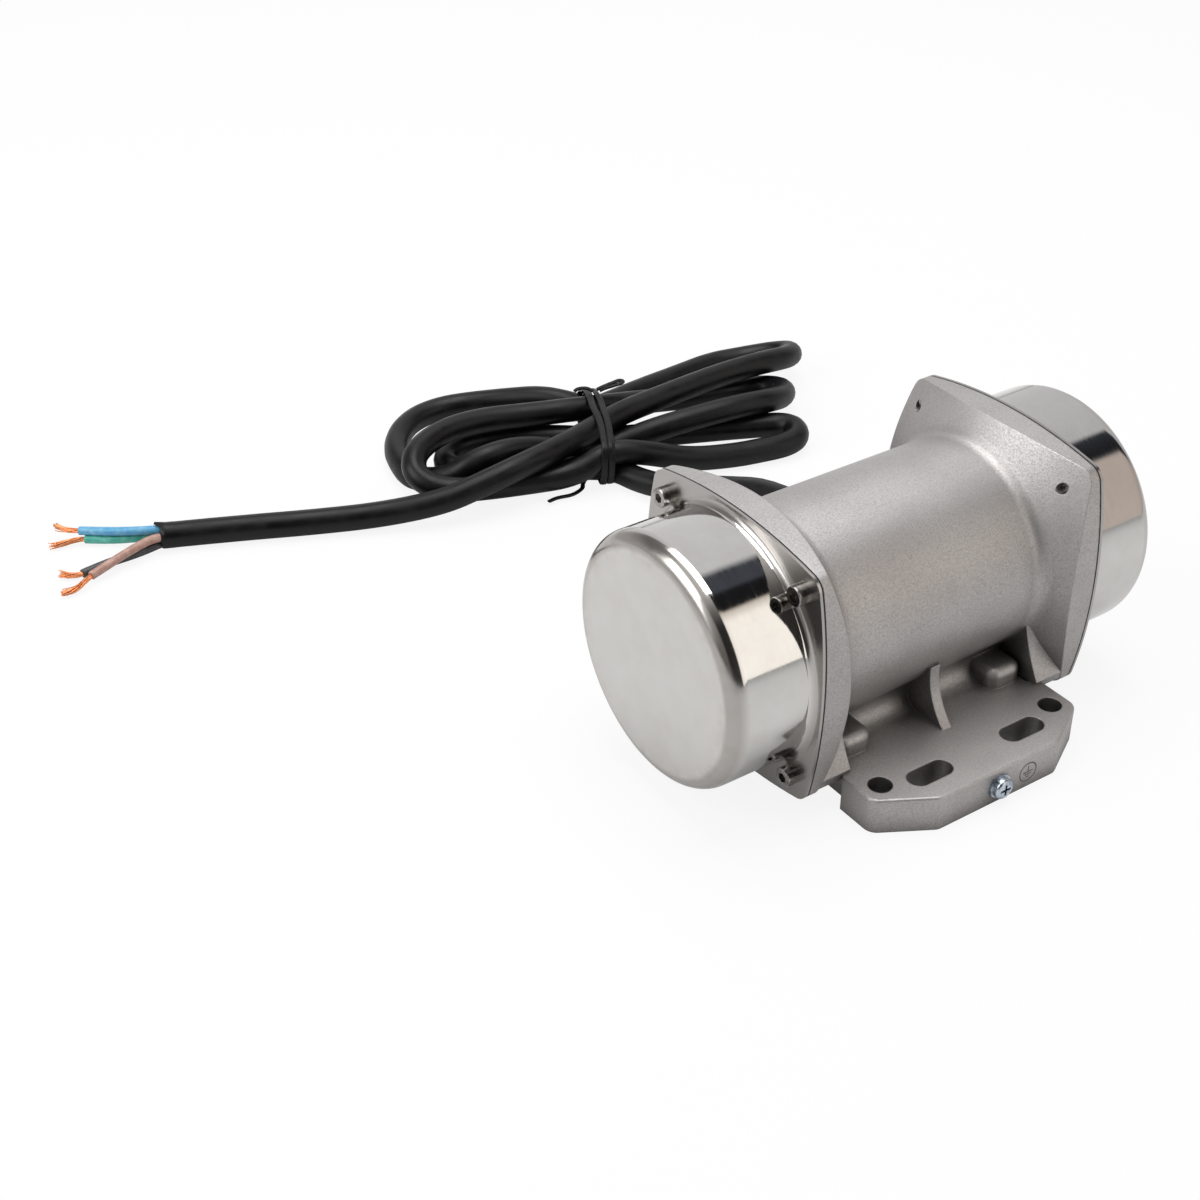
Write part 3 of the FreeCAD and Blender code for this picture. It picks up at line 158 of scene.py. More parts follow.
@dataclass(frozen=True)
class Finish:
    """A finish of the motor: one procedural material, made once.

    Attributes:
        name: Name of the material.
        roughness: Roughness of the surface between its marks.
    """

    name: str
    roughness: float

    made: ClassVar[dict[str, bpy.types.Material]] = {}

    def material(self) -> bpy.types.Material:
        """Return the material, built at its first use."""
        if self.name not in Finish.made:
            made = bpy.data.materials.new(self.name)
            made.use_nodes = True
            tree = made.node_tree
            shader = tree.nodes["Principled BSDF"]
            shader.inputs["Roughness"].default_value = self.roughness
            place = add_node(tree, "TexCoord").outputs["Object"]
            self.dress(tree, shader, place)
            Finish.made[self.name] = made
        return Finish.made[self.name]

    def dress(self, tree: Tree, shader: bpy.types.Node, place: Socket) -> None:
        """Add this finish's own nodes.

        Args:
            tree: The material's node tree.
            shader: Its principled shader.
            place: Position in the motor's frame, in metres.
        """
        raise NotImplementedError

    def grain(self, tree: Tree, place: Socket, size_mm: float, detail: float = 2.0,
              rough: float = 0.5) -> Socket:
        """Lay even noise.

        Args:
            tree: The material's node tree.
            place: Position in the motor's frame.
            size_mm: About how wide its lumps are.
            detail: Octaves of finer noise.
            rough: Strength of the finer octaves.

        Returns:
            The noise, from 0 to 1.
        """
        return add_node(tree, "TexNoise", {"Scale": 1 / (size_mm * MM), "Detail": detail,
                                           "Roughness": rough},
                        {"Vector": place}).outputs["Fac"]

    def tool_lines(self, tree: Tree, place: Socket, size_mm: float) -> Socket:
        """Lay fine lines around the shaft.

        Args:
            tree: The material's node tree.
            place: Position in the motor's frame.
            size_mm: About how wide the lines are.

        Returns:
            The lines, from 0 to 1.
        """
        laid = add_node(tree, "Mapping", {"Scale": LINE_SQUEEZE}, {"Vector": place})
        return self.grain(tree, laid.outputs["Vector"], size_mm)

    def level(self, tree: Tree, source: Socket, low: float, high: float,
              start: float = 0.0, end: float = 1.0) -> Socket:
        """Spread a value over another range.

        Args:
            tree: The material's node tree.
            source: The value.
            low: Result at start.
            high: Result at end.
            start: Value that gives low.
            end: Value that gives high.

        Returns:
            The value in its new range.
        """
        return add_node(tree, "MapRange", {"From Min": start, "From Max": end,
                                           "To Min": low, "To Max": high},
                        {"Value": source}).outputs["Result"]

    def relief(self, tree: Tree, shader: bpy.types.Node, height: Socket, depth_mm: float,
               strength: float = 1.0, under: Socket | None = None) -> Socket:
        """Lay a bump on the shader.

        Args:
            tree: The material's node tree.
            shader: Shader that gets the bump.
            height: Height of the bump, from 0 to 1.
            depth_mm: Depth between its lowest and highest places.
            strength: Share of the bump that shows.
            under: Normal that the bump is laid on.

        Returns:
            The new normal.
        """
        links = {"Height": height}
        if under is not None:
            links["Normal"] = under
        normal = add_node(tree, "Bump", {"Distance": depth_mm * MM, "Strength": strength},
                          links).outputs["Normal"]
        tree.links.new(normal, shader.inputs["Normal"])
        return normal

    def mix(self, tree: Tree, factor: Socket, below: Socket | str,
            above: Socket | str) -> Socket:
        """Mix two colours, each a socket or a hex colour.

        Args:
            tree: The material's node tree.
            factor: Share of the second colour.
            below: First colour.
            above: Second colour.

        Returns:
            The mixed colour.
        """
        node = add_node(tree, "Mix", {"data_type": "RGBA"}, {"Factor": factor})
        for key, side in ((6, below), (7, above)):
            if isinstance(side, str):
                node.inputs[key].default_value = colour(side)
            else:
                tree.links.new(side, node.inputs[key])
        return node.outputs[2]


@dataclass(frozen=True)
class CastAluminium(Finish):
    """Pressure-cast aluminium, shot-blasted: a dull grey skin of fine, even grain.

    The blasted skin scatters light evenly; an occlusion node paints shade into its
    corners and hollows, and fine scratches and small pits catch the light.
    """

    name: str = "cast_aluminium"
    roughness: float = 0.5
    grain_mm: float = 0.48
    pit_mm: float = 1.3
    cloud_mm: float = 19.0
    scratch_mm: float = 2.6
    shade_reach_mm: float = 8.0

    def dress(self, tree: Tree, shader: bpy.types.Node, place: Socket) -> None:
        """Add the grain, the pits, the scratches and the painted shade in the corners."""
        shader.inputs["Metallic"].default_value = 1.0
        grain = self.grain(tree, place, self.grain_mm, 2.0, 0.6)
        clouds = self.grain(tree, place, self.cloud_mm, 3.0, 0.5)
        base = colour_ramp(tree, clouds, ((0.32, "#aba7a6"), (0.5, "#b0adac"), (0.7, "#b5b3b2")))
        speck = self.level(tree, grain, 0.0, 0.5, 0.4, 0.7)
        shade = self.mix(tree, speck, base, "#8b8886")
        pits = self.grain(tree, place, self.pit_mm, 3.0, 0.65)
        hole = self.level(tree, pits, 0.0, 0.6, 0.68, 0.76)
        shade = self.mix(tree, hole, shade, "#75726f")
        for turn in ((0.35, 0.5, 0.9), (1.2, 0.2, -0.7), (0.2, -0.8, 2.3)):
            laid = add_node(tree, "Mapping", {"Rotation": turn, "Scale": (1.6, 15.0, 15.0)},
                            {"Vector": place}).outputs["Vector"]
            scratch = self.grain(tree, laid, self.scratch_mm, 0.0)
            mark = self.level(tree, scratch, 0.0, 0.5, 0.82, 0.85)
            shade = self.mix(tree, mark, shade, "#d6d4d4")
        # Painted shade: an occlusion node darkens the base colour in corners, holes and coves.
        corner = add_node(tree, "AmbientOcclusion", {"samples": 6,
                                                     "Distance": self.shade_reach_mm * MM})
        painted_corner_shade = self.level(tree, corner.outputs["AO"], 0.85, 0.0, 0.12, 0.92)
        shade = self.mix(tree, painted_corner_shade, shade, "#3d3a38")
        tree.links.new(shade, shader.inputs["Base Color"])
        rough = self.level(tree, grain, self.roughness - 0.05, self.roughness + 0.07, 0.3, 0.7)
        tree.links.new(rough, shader.inputs["Roughness"])
        edge = add_node(tree, "Bevel", {"samples": 4, "Radius": 0.5 * MM}).outputs["Normal"]
        soft = self.relief(tree, shader, clouds, 0.2, 0.3, edge)
        low = self.relief(tree, shader, pits, 0.06, 0.35, soft)
        self.relief(tree, shader, grain, 0.07, 0.75, low)


@dataclass(frozen=True)
class DrawnStainless(Finish):
    """Deep-drawn stainless cup: polished sides, a softer, buffed end face.

    Polish leaves the sides nearly a mirror with faint lines around the draw; the end
    keeps cloudy buffing marks and shallow waves.
    """

    name: str = "drawn_stainless"
    roughness: float = 0.07
    end_roughness: float = 0.2
    plate_roughness: float = 0.26
    line_mm: float = 0.5
    wave_mm: float = 26.0
    end_at_mm: float = 71.8
    plate_at_mm: float = 47.6
    edge_mm: float = 4.7
    face_radius_mm: float = 30.2

    def dress(self, tree: Tree, shader: bpy.types.Node, place: Socket) -> None:
        """Add the drawn lines on the sides and the buffed clouds on the end."""
        shader.inputs["Metallic"].default_value = 1.0
        parts = add_node(tree, "SeparateXYZ", {}, {"Vector": place}).outputs
        along = add_node(tree, "Math", {"operation": "ABSOLUTE"}, {0: parts["X"]}).outputs[0]
        on_end = self.level(tree, along, 0.0, 1.0, (self.end_at_mm - self.edge_mm) * MM,
                            (self.end_at_mm - 0.8) * MM)
        off_plate = self.level(tree, along, 0.0, 1.0, (self.plate_at_mm - 0.2) * MM,
                               (self.plate_at_mm + 1.4) * MM)
        lines = self.tool_lines(tree, place, self.line_mm)
        clouds = self.grain(tree, place, 9.0, 5.0, 0.62)
        stains = self.grain(tree, place, 4.5, 5.0, 0.6)
        tint = colour_ramp(tree, clouds, ((0.3, "#c2bfbc"), (0.52, "#c6c4c1"), (0.72, "#cac8c6")))
        # Brownish smudges gather where the end face turns over to the side.
        flat = add_node(tree, "CombineXYZ", {}, {"Y": parts["Y"], "Z": add_node(
            tree, "Math", {"operation": "SUBTRACT", 1: AXIS_HEIGHT},
            {0: parts["Z"]}).outputs[0]}).outputs[0]
        out = add_node(tree, "VectorMath", {"operation": "LENGTH"}, {0: flat}).outputs["Value"]
        near_rim = self.level(tree, out, 0.0, 1.0, self.face_radius_mm * MM * 0.86,
                              self.face_radius_mm * MM)
        blot = self.level(tree, stains, 0.0, 0.5, 0.42, 0.75)
        smudge = product(tree, product(tree, near_rim, blot), on_end)
        tint = self.mix(tree, smudge, tint, "#a79a92")
        # Painted reflection: a darker band at the drawn corner stands in for the shadowed table
        # that the rounded edge mirrors.
        corner = self.level(tree, along, 0.0, 0.55, (self.end_at_mm - self.edge_mm) * MM,
                            (self.end_at_mm - 0.45 * self.edge_mm) * MM)
        past_face = self.level(tree, out, 0.0, 1.0, self.face_radius_mm * MM,
                               (self.face_radius_mm + 1.3) * MM)
        painted_dark_rim = product(tree, corner, past_face)
        tint = self.mix(tree, painted_dark_rim, tint, "#8a8480")
        tint = self.mix(tree, off_plate, "#a5a29f", tint)
        tree.links.new(tint, shader.inputs["Base Color"])
        side = self.level(tree, lines, self.roughness - 0.03, self.roughness + 0.05, 0.3, 0.7)
        end = self.level(tree, clouds, self.end_roughness - 0.05, self.end_roughness + 0.07,
                         0.3, 0.7)
        cup = add_node(tree, "Mix", {"data_type": "FLOAT"},
                       {"Factor": on_end, 2: side, 3: end}).outputs[0]
        rough = add_node(tree, "Mix", {"data_type": "FLOAT", 2: self.plate_roughness},
                         {"Factor": off_plate, 3: cup}).outputs[0]
        tree.links.new(rough, shader.inputs["Roughness"])
        waves = self.grain(tree, place, self.wave_mm, 1.0)
        first = self.relief(tree, shader, waves, 0.6, 0.3)
        second = self.relief(tree, shader, clouds, 0.015, 0.3, first)
        self.relief(tree, shader, lines, 0.005, 0.4, second)


@dataclass(frozen=True)
class TurnedMetal(Finish):
    """A turned, ground or plated metal piece with fine tool lines and handling marks."""

    base: str = "#b8b6b2"
    stain: str = "#8d8a86"
    line_mm: float = 0.3
    mark_mm: float = 3.0

    def dress(self, tree: Tree, shader: bpy.types.Node, place: Socket) -> None:
        """Add the tool lines and the marks."""
        shader.inputs["Metallic"].default_value = 1.0
        marks = self.grain(tree, place, self.mark_mm, 4.0, 0.6)
        shade = colour_ramp(tree, marks, ((0.35, self.stain), (0.6, self.base)))
        tree.links.new(shade, shader.inputs["Base Color"])
        lines = self.tool_lines(tree, place, self.line_mm)
        rough = self.level(tree, lines, self.roughness - 0.06, self.roughness + 0.1, 0.3, 0.7)
        tree.links.new(rough, shader.inputs["Roughness"])
        self.relief(tree, shader, lines, 0.01, 0.5)


@dataclass(frozen=True)
class Rubber(Finish):
    """Moulded or extruded rubber: near black, with a dusty bloom and a faint orange peel."""

    base: str = "#1b1b1d"
    bloom: str = "#2a2a2c"
    peel_mm: float = 0.9
    dust_mm: float = 6.0

    def dress(self, tree: Tree, shader: bpy.types.Node, place: Socket) -> None:
        """Add the bloom, the dust and the orange peel."""
        shader.inputs["Specular IOR Level"].default_value = 0.24
        dust = self.grain(tree, place, self.dust_mm, 5.0, 0.6)
        peel = self.grain(tree, place, self.peel_mm, 2.0)
        shade = colour_ramp(tree, dust, ((0.4, self.base), (0.7, self.bloom)))
        tree.links.new(shade, shader.inputs["Base Color"])
        rough = self.level(tree, dust, self.roughness - 0.06, self.roughness + 0.1, 0.35, 0.7)
        tree.links.new(rough, shader.inputs["Roughness"])
        self.relief(tree, shader, peel, 0.05, 0.35)


@dataclass(frozen=True)
class Insulation(Finish):
    """Extruded core insulation: smooth, slightly waxy, with rub marks from the sheath."""

    base: str = "#5a9ccb"
    rub: str = "#7fb4d8"

    def dress(self, tree: Tree, shader: bpy.types.Node, place: Socket) -> None:
        """Add the rub marks and the fine extrusion unevenness."""
        shader.inputs["Subsurface Weight"].default_value = 0.08
        shader.inputs["Subsurface Scale"].default_value = 1.0 * MM
        marks = self.grain(tree, place, 2.2, 4.0, 0.6)
        shade = colour_ramp(tree, marks, ((0.42, self.base), (0.72, self.rub)))
        tree.links.new(shade, shader.inputs["Base Color"])
        rough = self.level(tree, marks, self.roughness - 0.05, self.roughness + 0.1, 0.3, 0.7)
        tree.links.new(rough, shader.inputs["Roughness"])
        self.relief(tree, shader, marks, 0.05, 0.3)


@dataclass(frozen=True)
class StrandCopper(Finish):
    """Fine drawn copper wire, soft and bright, with a little tarnish."""

    name: str = "strand_copper"
    roughness: float = 0.32

    def dress(self, tree: Tree, shader: bpy.types.Node, place: Socket) -> None:
        """Add the tarnish."""
        shader.inputs["Metallic"].default_value = 1.0
        tarnish = self.grain(tree, place, 1.4, 3.0)
        shade = colour_ramp(tree, tarnish, ((0.3, "#d9824c"), (0.6, "#f2a779")))
        tree.links.new(shade, shader.inputs["Base Color"])
        self.relief(tree, shader, tarnish, 0.02, 0.3)


@dataclass(frozen=True)
class Lamination(Finish):
    """Stacked electrical steel: dark, thin sheets seen on edge."""

    name: str = "lamination_steel"
    roughness: float = 0.45
    sheet_mm: float = 0.5

    def dress(self, tree: Tree, shader: bpy.types.Node, place: Socket) -> None:
        """Add the sheet edges."""
        shader.inputs["Metallic"].default_value = 1.0
        sheets = add_node(tree, "TexWave", {"bands_direction": "X",
                                            "Scale": WAVE_PITCH / (self.sheet_mm * MM),
                                            "Distortion": 0.4},
                          {"Vector": place}).outputs["Fac"]
        shade = colour_ramp(tree, sheets, ((0.2, "#3f4146"), (0.6, "#7b7d82")))
        tree.links.new(shade, shader.inputs["Base Color"])
        self.relief(tree, shader, sheets, 0.06, 0.6)


@dataclass(frozen=True)
class Winding(Finish):
    """Varnished coil ends: laid copper wire under a glossy amber varnish."""

    name: str = "varnished_winding"
    roughness: float = 0.3
    wire_mm: float = 0.6

    def dress(self, tree: Tree, shader: bpy.types.Node, place: Socket) -> None:
        """Add the laid wires and the varnish over them."""
        shader.inputs["Metallic"].default_value = 0.6
        shader.inputs["Coat Weight"].default_value = 0.6
        shader.inputs["Coat Roughness"].default_value = 0.15
        wires = add_node(tree, "TexWave", {"bands_direction": "DIAGONAL",
                                           "Scale": WAVE_PITCH / (self.wire_mm * MM),
                                           "Distortion": 2.5, "Detail": 1.0},
                         {"Vector": place}).outputs["Fac"]
        shade = colour_ramp(tree, wires, ((0.15, "#5a2a14"), (0.7, "#b5642e")))
        tree.links.new(shade, shader.inputs["Base Color"])
        self.relief(tree, shader, wires, 0.2, 0.8)


class Look(Enum):
    """The finishes of this motor."""

    CASTING = CastAluminium()
    # Painted shade: the earth sign is the casting's own metal; this darker grey stands in for the
    # shade of its relief.
    MARK_SHADE = TurnedMetal("earth_mark_painted_shade", 0.55, "#6f6b69", "#55514f", 0.4)
    COVER = DrawnStainless()
    CAP_SCREW = TurnedMetal("stainless_screw", 0.15, "#a5a29f", "#716d6a")
    MACHINED_ALUMINIUM = TurnedMetal("machined_aluminium", 0.3, "#c6c5c2", "#a9a7a3")
    ZINC = TurnedMetal("zinc_plated_steel", 0.24, "#c3cbd4", "#97a3b1", 0.25, 1.5)
    BEARING = TurnedMetal("ground_bearing_steel", 0.12, "#c2c3c5", "#a3a5a8", 0.15)
    CAGE = TurnedMetal("pressed_brass", 0.28, "#c8a24e", "#9c7a35")
    SPRING = TurnedMetal("spring_steel", 0.3, "#8a8d93", "#5d6067")
    WEIGHT = TurnedMetal("phosphated_steel", 0.5, "#56575b", "#3a3b3f", 0.4)
    SHAFT = TurnedMetal("turned_steel", 0.22, "#b4b5b7", "#8b8c8f", 0.2)
    GLAND = TurnedMetal("nickel_plated_brass", 0.2, "#cbc7bc", "#a8a397", 0.3)
    LAMINATION = Lamination()
    WINDING = Winding()
    SHEATH = Rubber("cable_rubber", 0.4, "#060608", "#0f0f12")
    TIE = Rubber("tie_plastic", 0.42, "#070709", "#0f0f11", 0.5, 3.0)
    GASKET = Rubber("gasket_rubber", 0.6, "#222222", "#333332", 0.6, 4.0)
    SEAL = Rubber("seal_rubber", 0.55, "#1d1d1e", "#2b2b2c", 0.6, 4.0)
    BLUE = Insulation("blue_insulation", 0.38, "#4a93bd", "#74acc8")
    GREEN = Insulation("green_insulation", 0.38, "#3d9d8c", "#6cb9ab")
    BROWN = Insulation("brown_insulation", 0.42, "#9a7568", "#b8968a")
    BLACK = Insulation("black_insulation", 0.42, "#2b2b2d", "#4a4a4c")
    SLEEVE = Insulation("lead_sleeve", 0.5, "#d8d0bb", "#e8e2d2")
    COPPER = StrandCopper()


# -------- mesh and curve helpers


def add_piece(name: str, data: bpy.types.Mesh | bpy.types.Curve,
              look: Look) -> Piece:
    """Add a mesh or a curve as a piece that rides on the motor.

    Args:
        name: Name of the piece.
        data: Its shape.
        look: Finish of the piece.

    Returns:
        The new object.
    """
    data.materials.append(look.value.material())
    made = bpy.data.objects.new(name, data)
    bpy.context.scene.collection.objects.link(made)
    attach(made, MOTOR)
    LOG.info("%s: %s", name, look.name)
    return made


def piece_from(name: str, mesh: Shape, look: Look) -> Piece:
    """Turn a bmesh to a smooth piece of the motor.

    Args:
        name: Name of the piece.
        mesh: Its shape; it is freed here.
        look: Finish of the piece.

    Returns:
        The new object.
    """
    bmesh.ops.recalc_face_normals(mesh, faces=mesh.faces)
    data = bpy.data.meshes.new(name)
    mesh.to_mesh(data)
    mesh.free()
    data.polygons.foreach_set("use_smooth", [True] * len(data.polygons))
    return add_piece(name, data, look)


def nurbs(name: str, points: Sequence[Vector], radius: float,
          look: Look) -> Piece:
    """Make a round flexible piece as one smooth curve.

    Args:
        name: Name of the piece.
        points: Control points in metres.
        radius: Half of its diameter, in metres.
        look: Finish of the piece.

    Returns:
        The curve object, riding on the motor.
    """
    data = bpy.data.curves.new(name, "CURVE")
    data.dimensions = "3D"
    data.resolution_u = CURVE_STEPS
    data.bevel_depth = radius
    data.bevel_resolution = SECTION_STEPS
    data.use_fill_caps = True
    line = data.splines.new("NURBS")
    line.points.add(len(points) - 1)
    for slot, point in zip(line.points, points):
        slot.co = (*point, 1.0)
    line.order_u = 3
    line.use_endpoint_u = True
    return add_piece(name, data, look)


def metres(points: Sequence[Point]) -> list[Vector]:
    """Turn points from millimetres to metres.

    Args:
        points: Points in millimetres.

    Returns:
        The same points in metres.
    """
    return [Vector([part * MM for part in point]) for point in points]


def smooth_line(points: Sequence[Vector]) -> list[Vector]:
    """Return points of a smooth line through the given ones.

    Args:
        points: Points that the line passes, in metres.

    Returns:
        The line's points, both ends among them.
    """
    line: list[Vector] = []
    count = len(points)
    for i in range(count - 1):
        before, here = points[max(i - 1, 0)], points[i]
        there, after = points[i + 1], points[min(i + 2, count - 1)]
        for k in range(LINE_STEPS):
            t = k / LINE_STEPS
            line.append(0.5 * (2 * here + (there - before) * t
                               + (2 * before - 5 * here + 4 * there - after) * t * t
                               + (3 * here - before - 3 * there + after) * t ** 3))
    line.append(points[-1].copy())
    return line


def join_rings(mesh: Shape,
               rings: Sequence[Sequence[bmesh.types.BMVert]]) -> None:
    """Bridge each closed ring of corners to the next.

    Args:
        mesh: Shape that gets the faces.
        rings: Rings with equal numbers of corners, in order.
    """
    for low, high in zip(rings, rings[1:]):
        for k in range(len(low)):
            nxt = (k + 1) % len(low)
            mesh.faces.new((low[k], low[nxt], high[nxt], high[k]))


def keep_off_floor(mesh: Shape) -> None:
    """Lift every corner that comes too near the floor.

    Args:
        mesh: Shape that is lifted.
    """
    for vert in mesh.verts:
        vert.co.z = max(vert.co.z, FLOOR_GAP)


def sweep(mesh: Shape, line: Sequence[Vector], wide: float, thick: float,
          ups: Sequence[Vector], sides: int, ridges: float = 0.0) -> None:
    """Sweep an oval section along a line and cap its ends.

    Args:
        mesh: Shape that gets the faces.
        line: Middle of the section, in metres.
        wide: Half width across the line and up.
        thick: Half thickness along up.
        ups: Direction of the thickness, one for all points or one for each.
        sides: Corners of the section.
        ridges: Height of three lengthwise ridges, as a share of the thickness.
    """
    rings: list[list[bmesh.types.BMVert]] = []
    last = len(line) - 1
    for i, middle in enumerate(line):
        ahead = (line[min(i + 1, last)] - line[max(i - 1, 0)]).normalized()
        across = ahead.cross(ups[i % len(ups)])
        if across.length < 1e-6:
            across = ahead.orthogonal()
        across.normalize()
        rise = across.cross(ahead).normalized()
        ring = []
        for k in range(sides):
            beside = math.cos(math.tau * k / sides)
            above = math.sin(math.tau * k / sides)
            above *= 1 + ridges * math.cos(3 * math.pi * beside)
            ring.append(mesh.verts.new(middle + across * (wide * beside)
                                       + rise * (thick * above)))
        rings.append(ring)
    join_rings(mesh, rings)
    mesh.faces.new(rings[0][::-1])
    mesh.faces.new(rings[-1])


# -------- sub-assemblies


@dataclass
class Cable:
    """Rubber cable: out of the gland, three turns of a loose hank, and a stripped end.

    Attributes:
        layers: Strands of each layer, millimetres from the middle, strands to a full turn.
        jitter: Most that a strand is off its angle, in radians.
        flare: Share by which the strands spread at the tip.
        twist: Turn of the strands over their length, in radians.
        cut_rings: Rings of the cut end: millimetres past the end, share of the radius.
        flap: Length in millimetres, angle in radians and narrowness of the torn flap.
        route: Control points in millimetres, from the gland to the cut end.
        cores: Name, finish, control points and points of the bare strands, in millimetres.
    """

    diameter: float = 8.36 * MM
    length: float = 1.21
    exit: Point = (0.023, 0.025, 0.0275)
    core_radius: float = 1.4 * MM
    strand_radius: float = 0.14 * MM
    layers: tuple[tuple[int, float, int], ...] = ((2, 0.08, 15), (7, 0.34, 7), (15, 0.62, 15))
    jitter: float = 0.25
    stray_mm: float = 1.1
    flare: float = 0.25
    twist: float = 3.4
    cut_sides: int = 36
    cut_rings: tuple[tuple[float, float], ...] = (
        (-3.0, 1.005), (-0.5, 1.01), (0.9, 1.0), (1.2, 0.95), (1.1, 0.87), (-2.5, 0.82))
    flap: tuple[float, float, int] = (2.0, 1.3, 14)
    route: tuple[Point, ...] = (
        (23, 25, 27.5), (23, 64, 27.5), (21, 98, 13), (17.5, 116, 5.6), (13.5, 127.4, 4),
        (11.1, 138.2, 4.3), (2.7, 145.6, 4.2), (-8.3, 149.1, 4.3), (-20, 153.8, 4.2),
        (-27.7, 160.9, 4.3), (-32.1, 166.3, 4.2), (-34.3, 172, 4.3), (-32.2, 177, 4.2),
        (-27.6, 179.9, 4.3), (-21.9, 180.8, 4.3), (-14.8, 179.9, 4.2), (-5.6, 176.5, 4.3),
        (5.8, 168.8, 4.2), (18.7, 157.9, 4.3), (36.5, 149.4, 4.2), (56.7, 140.5, 4.3),
        (67.8, 135.4, 4.2), (74.3, 132.2, 4.4), (77.4, 127.3, 4.9), (76.2, 122.5, 4.8),
        (72.4, 119.2, 4.6), (66.8, 119, 4.3), (59.9, 120.4, 4.3), (49.7, 123.1, 4.1),
        (33.4, 127.8, 5.5), (20.1, 132.3, 10.3), (7.8, 137.3, 12.5), (-4.3, 138.8, 6.8),
        (-19.6, 144.9, 6), (-34.4, 150.3, 6), (-43.4, 154.1, 6.4), (-48.7, 158.6, 8),
        (-50.8, 163.8, 10.4), (-48.4, 168.8, 12.7), (-43.7, 172.7, 13.5), (-37.2, 175.7, 14.1),
        (-27.9, 177.7, 14.4), (-15.3, 177.3, 13.7), (0.3, 172.9, 12.7), (18.4, 166.9, 12.4),
        (38.1, 164, 9.9), (58.4, 161.6, 6.9), (72.7, 161.3, 4.9), (81.3, 159, 4.6),
        (86.9, 155.6, 5.2), (89.4, 150.4, 6.3), (88.1, 145.2, 7.5), (84.3, 141.2, 8.7),
        (78.9, 138.3, 10.3), (71.4, 136.4, 12.2), (60.7, 137.3, 13), (46.8, 140.5, 12.1),
        (29.6, 145.1, 9.7), (16.1, 150.5, 4.7), (2.5, 154.6, 6), (-9.2, 156.3, 10.4),
        (-20.7, 156.7, 12.8), (-31.3, 157.6, 11.7), (-38.1, 160.8, 6.9), (-43.9, 165.5, 4.8),
        (-47.8, 172.4, 4.1), (-46.7, 180.6, 4.3), (-44.4, 189, 4.3), (-39.5, 197.4, 4.2),
        (-32.4, 204, 4.5), (-24, 207.4, 4.7), (-14.8, 207.3, 5), (-5.5, 203.3, 5.6),
        (3.9, 196, 7.3), (12.2, 187.5, 9.5), (18.5, 179.7, 9.1), (26.1, 175.6, 5.5),
        (36.4, 176.2, 5.7), (49.6, 178.3, 5.4), (68.2, 181.5, 4.1), (83.4, 182.8, 4.2),
        (93.9, 180, 4.4), (100.7, 176.5, 5.4), (105.3, 172.5, 6.8), (107.3, 167.2, 8.7),
        (104.9, 162.3, 10.4), (100.1, 159.2, 11.9), (93.4, 157.4, 13.4), (83.2, 156.9, 14.6),
        (65.9, 157.3, 14.6), (43.4, 156.4, 14), (24.4, 156, 13.1), (7.4, 150.3, 13.4),
        (-9, 144.8, 14.5), (-23.8, 142.4, 14.3), (-37.3, 144, 11.3), (-50, 146.5, 8),
        (-68, 155.3, 5), (-88, 164.8, 4.3), (-110, 175.3, 4.3), (-130, 184, 4.3))
    cores: tuple[tuple[str, Look, tuple[Point, ...], tuple[Point, ...]], ...] = (
        ("blue", Look.BLUE,
         ((-128.4, 183.9, 6.3), (-133.7, 186.8, 6.1), (-139.8, 191.1, 5.6), (-146.2, 196.6, 5),
          (-151.6, 201.6, 4.6)),
         ((-153.6, 203.4, 4.5), (-155.4, 205.8, 4.4), (-157, 209.3, 4.6))),
        ("green", Look.GREEN,
         ((-127.8, 185.2, 3.8), (-132.9, 188, 3.1), (-138.7, 190.9, 2.6), (-145.4, 195.4, 2.2),
          (-150.8, 199.6, 2.2)),
         ((-153, 200.8, 2.1), (-156.7, 201.8, 1.8), (-161.7, 202.8, 1.6))),
        ("brown", Look.BROWN,
         ((-129.4, 181.6, 4.8), (-132.4, 182.6, 5.2), (-136.2, 182.4, 5.3), (-140, 181.7, 5),
          (-147.8, 180.4, 3.7), (-157.2, 177.8, 2.4)),
         ((-160.4, 176, 2.1), (-164.1, 174.4, 1.7), (-168.2, 174.6, 1.7))),
        ("black", Look.BLACK,
         ((-128.8, 182.9, 2.3), (-131.6, 183.6, 2.3), (-136.3, 182.6, 2.3), (-142.2, 182.3, 2.1),
          (-150.1, 182.9, 1.8), (-158.7, 181.7, 1.6)),
         ((-160.6, 182, 1.6), (-162.8, 183.4, 1.5), (-164.7, 185.5, 1.5))))

    def build(self, tie: Piece) -> None:
        """Args:
            tie: The twist tie around the hank; not used.
        """
        cable = nurbs("cable_sheath", metres(self.route), self.diameter / 2, Look.SHEATH)
        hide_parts("cable_lead", "cable_hank", "cable_free_run")
        for label, look, laid, bare in self.cores:
            points, bundle = metres(laid), metres(bare)
            core = nurbs("insulation_" + label, points, self.core_radius, look)
            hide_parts("core_" + label)
            self.strands(label, points, bundle)
        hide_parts("copper_ends")
        self.sheath_end()

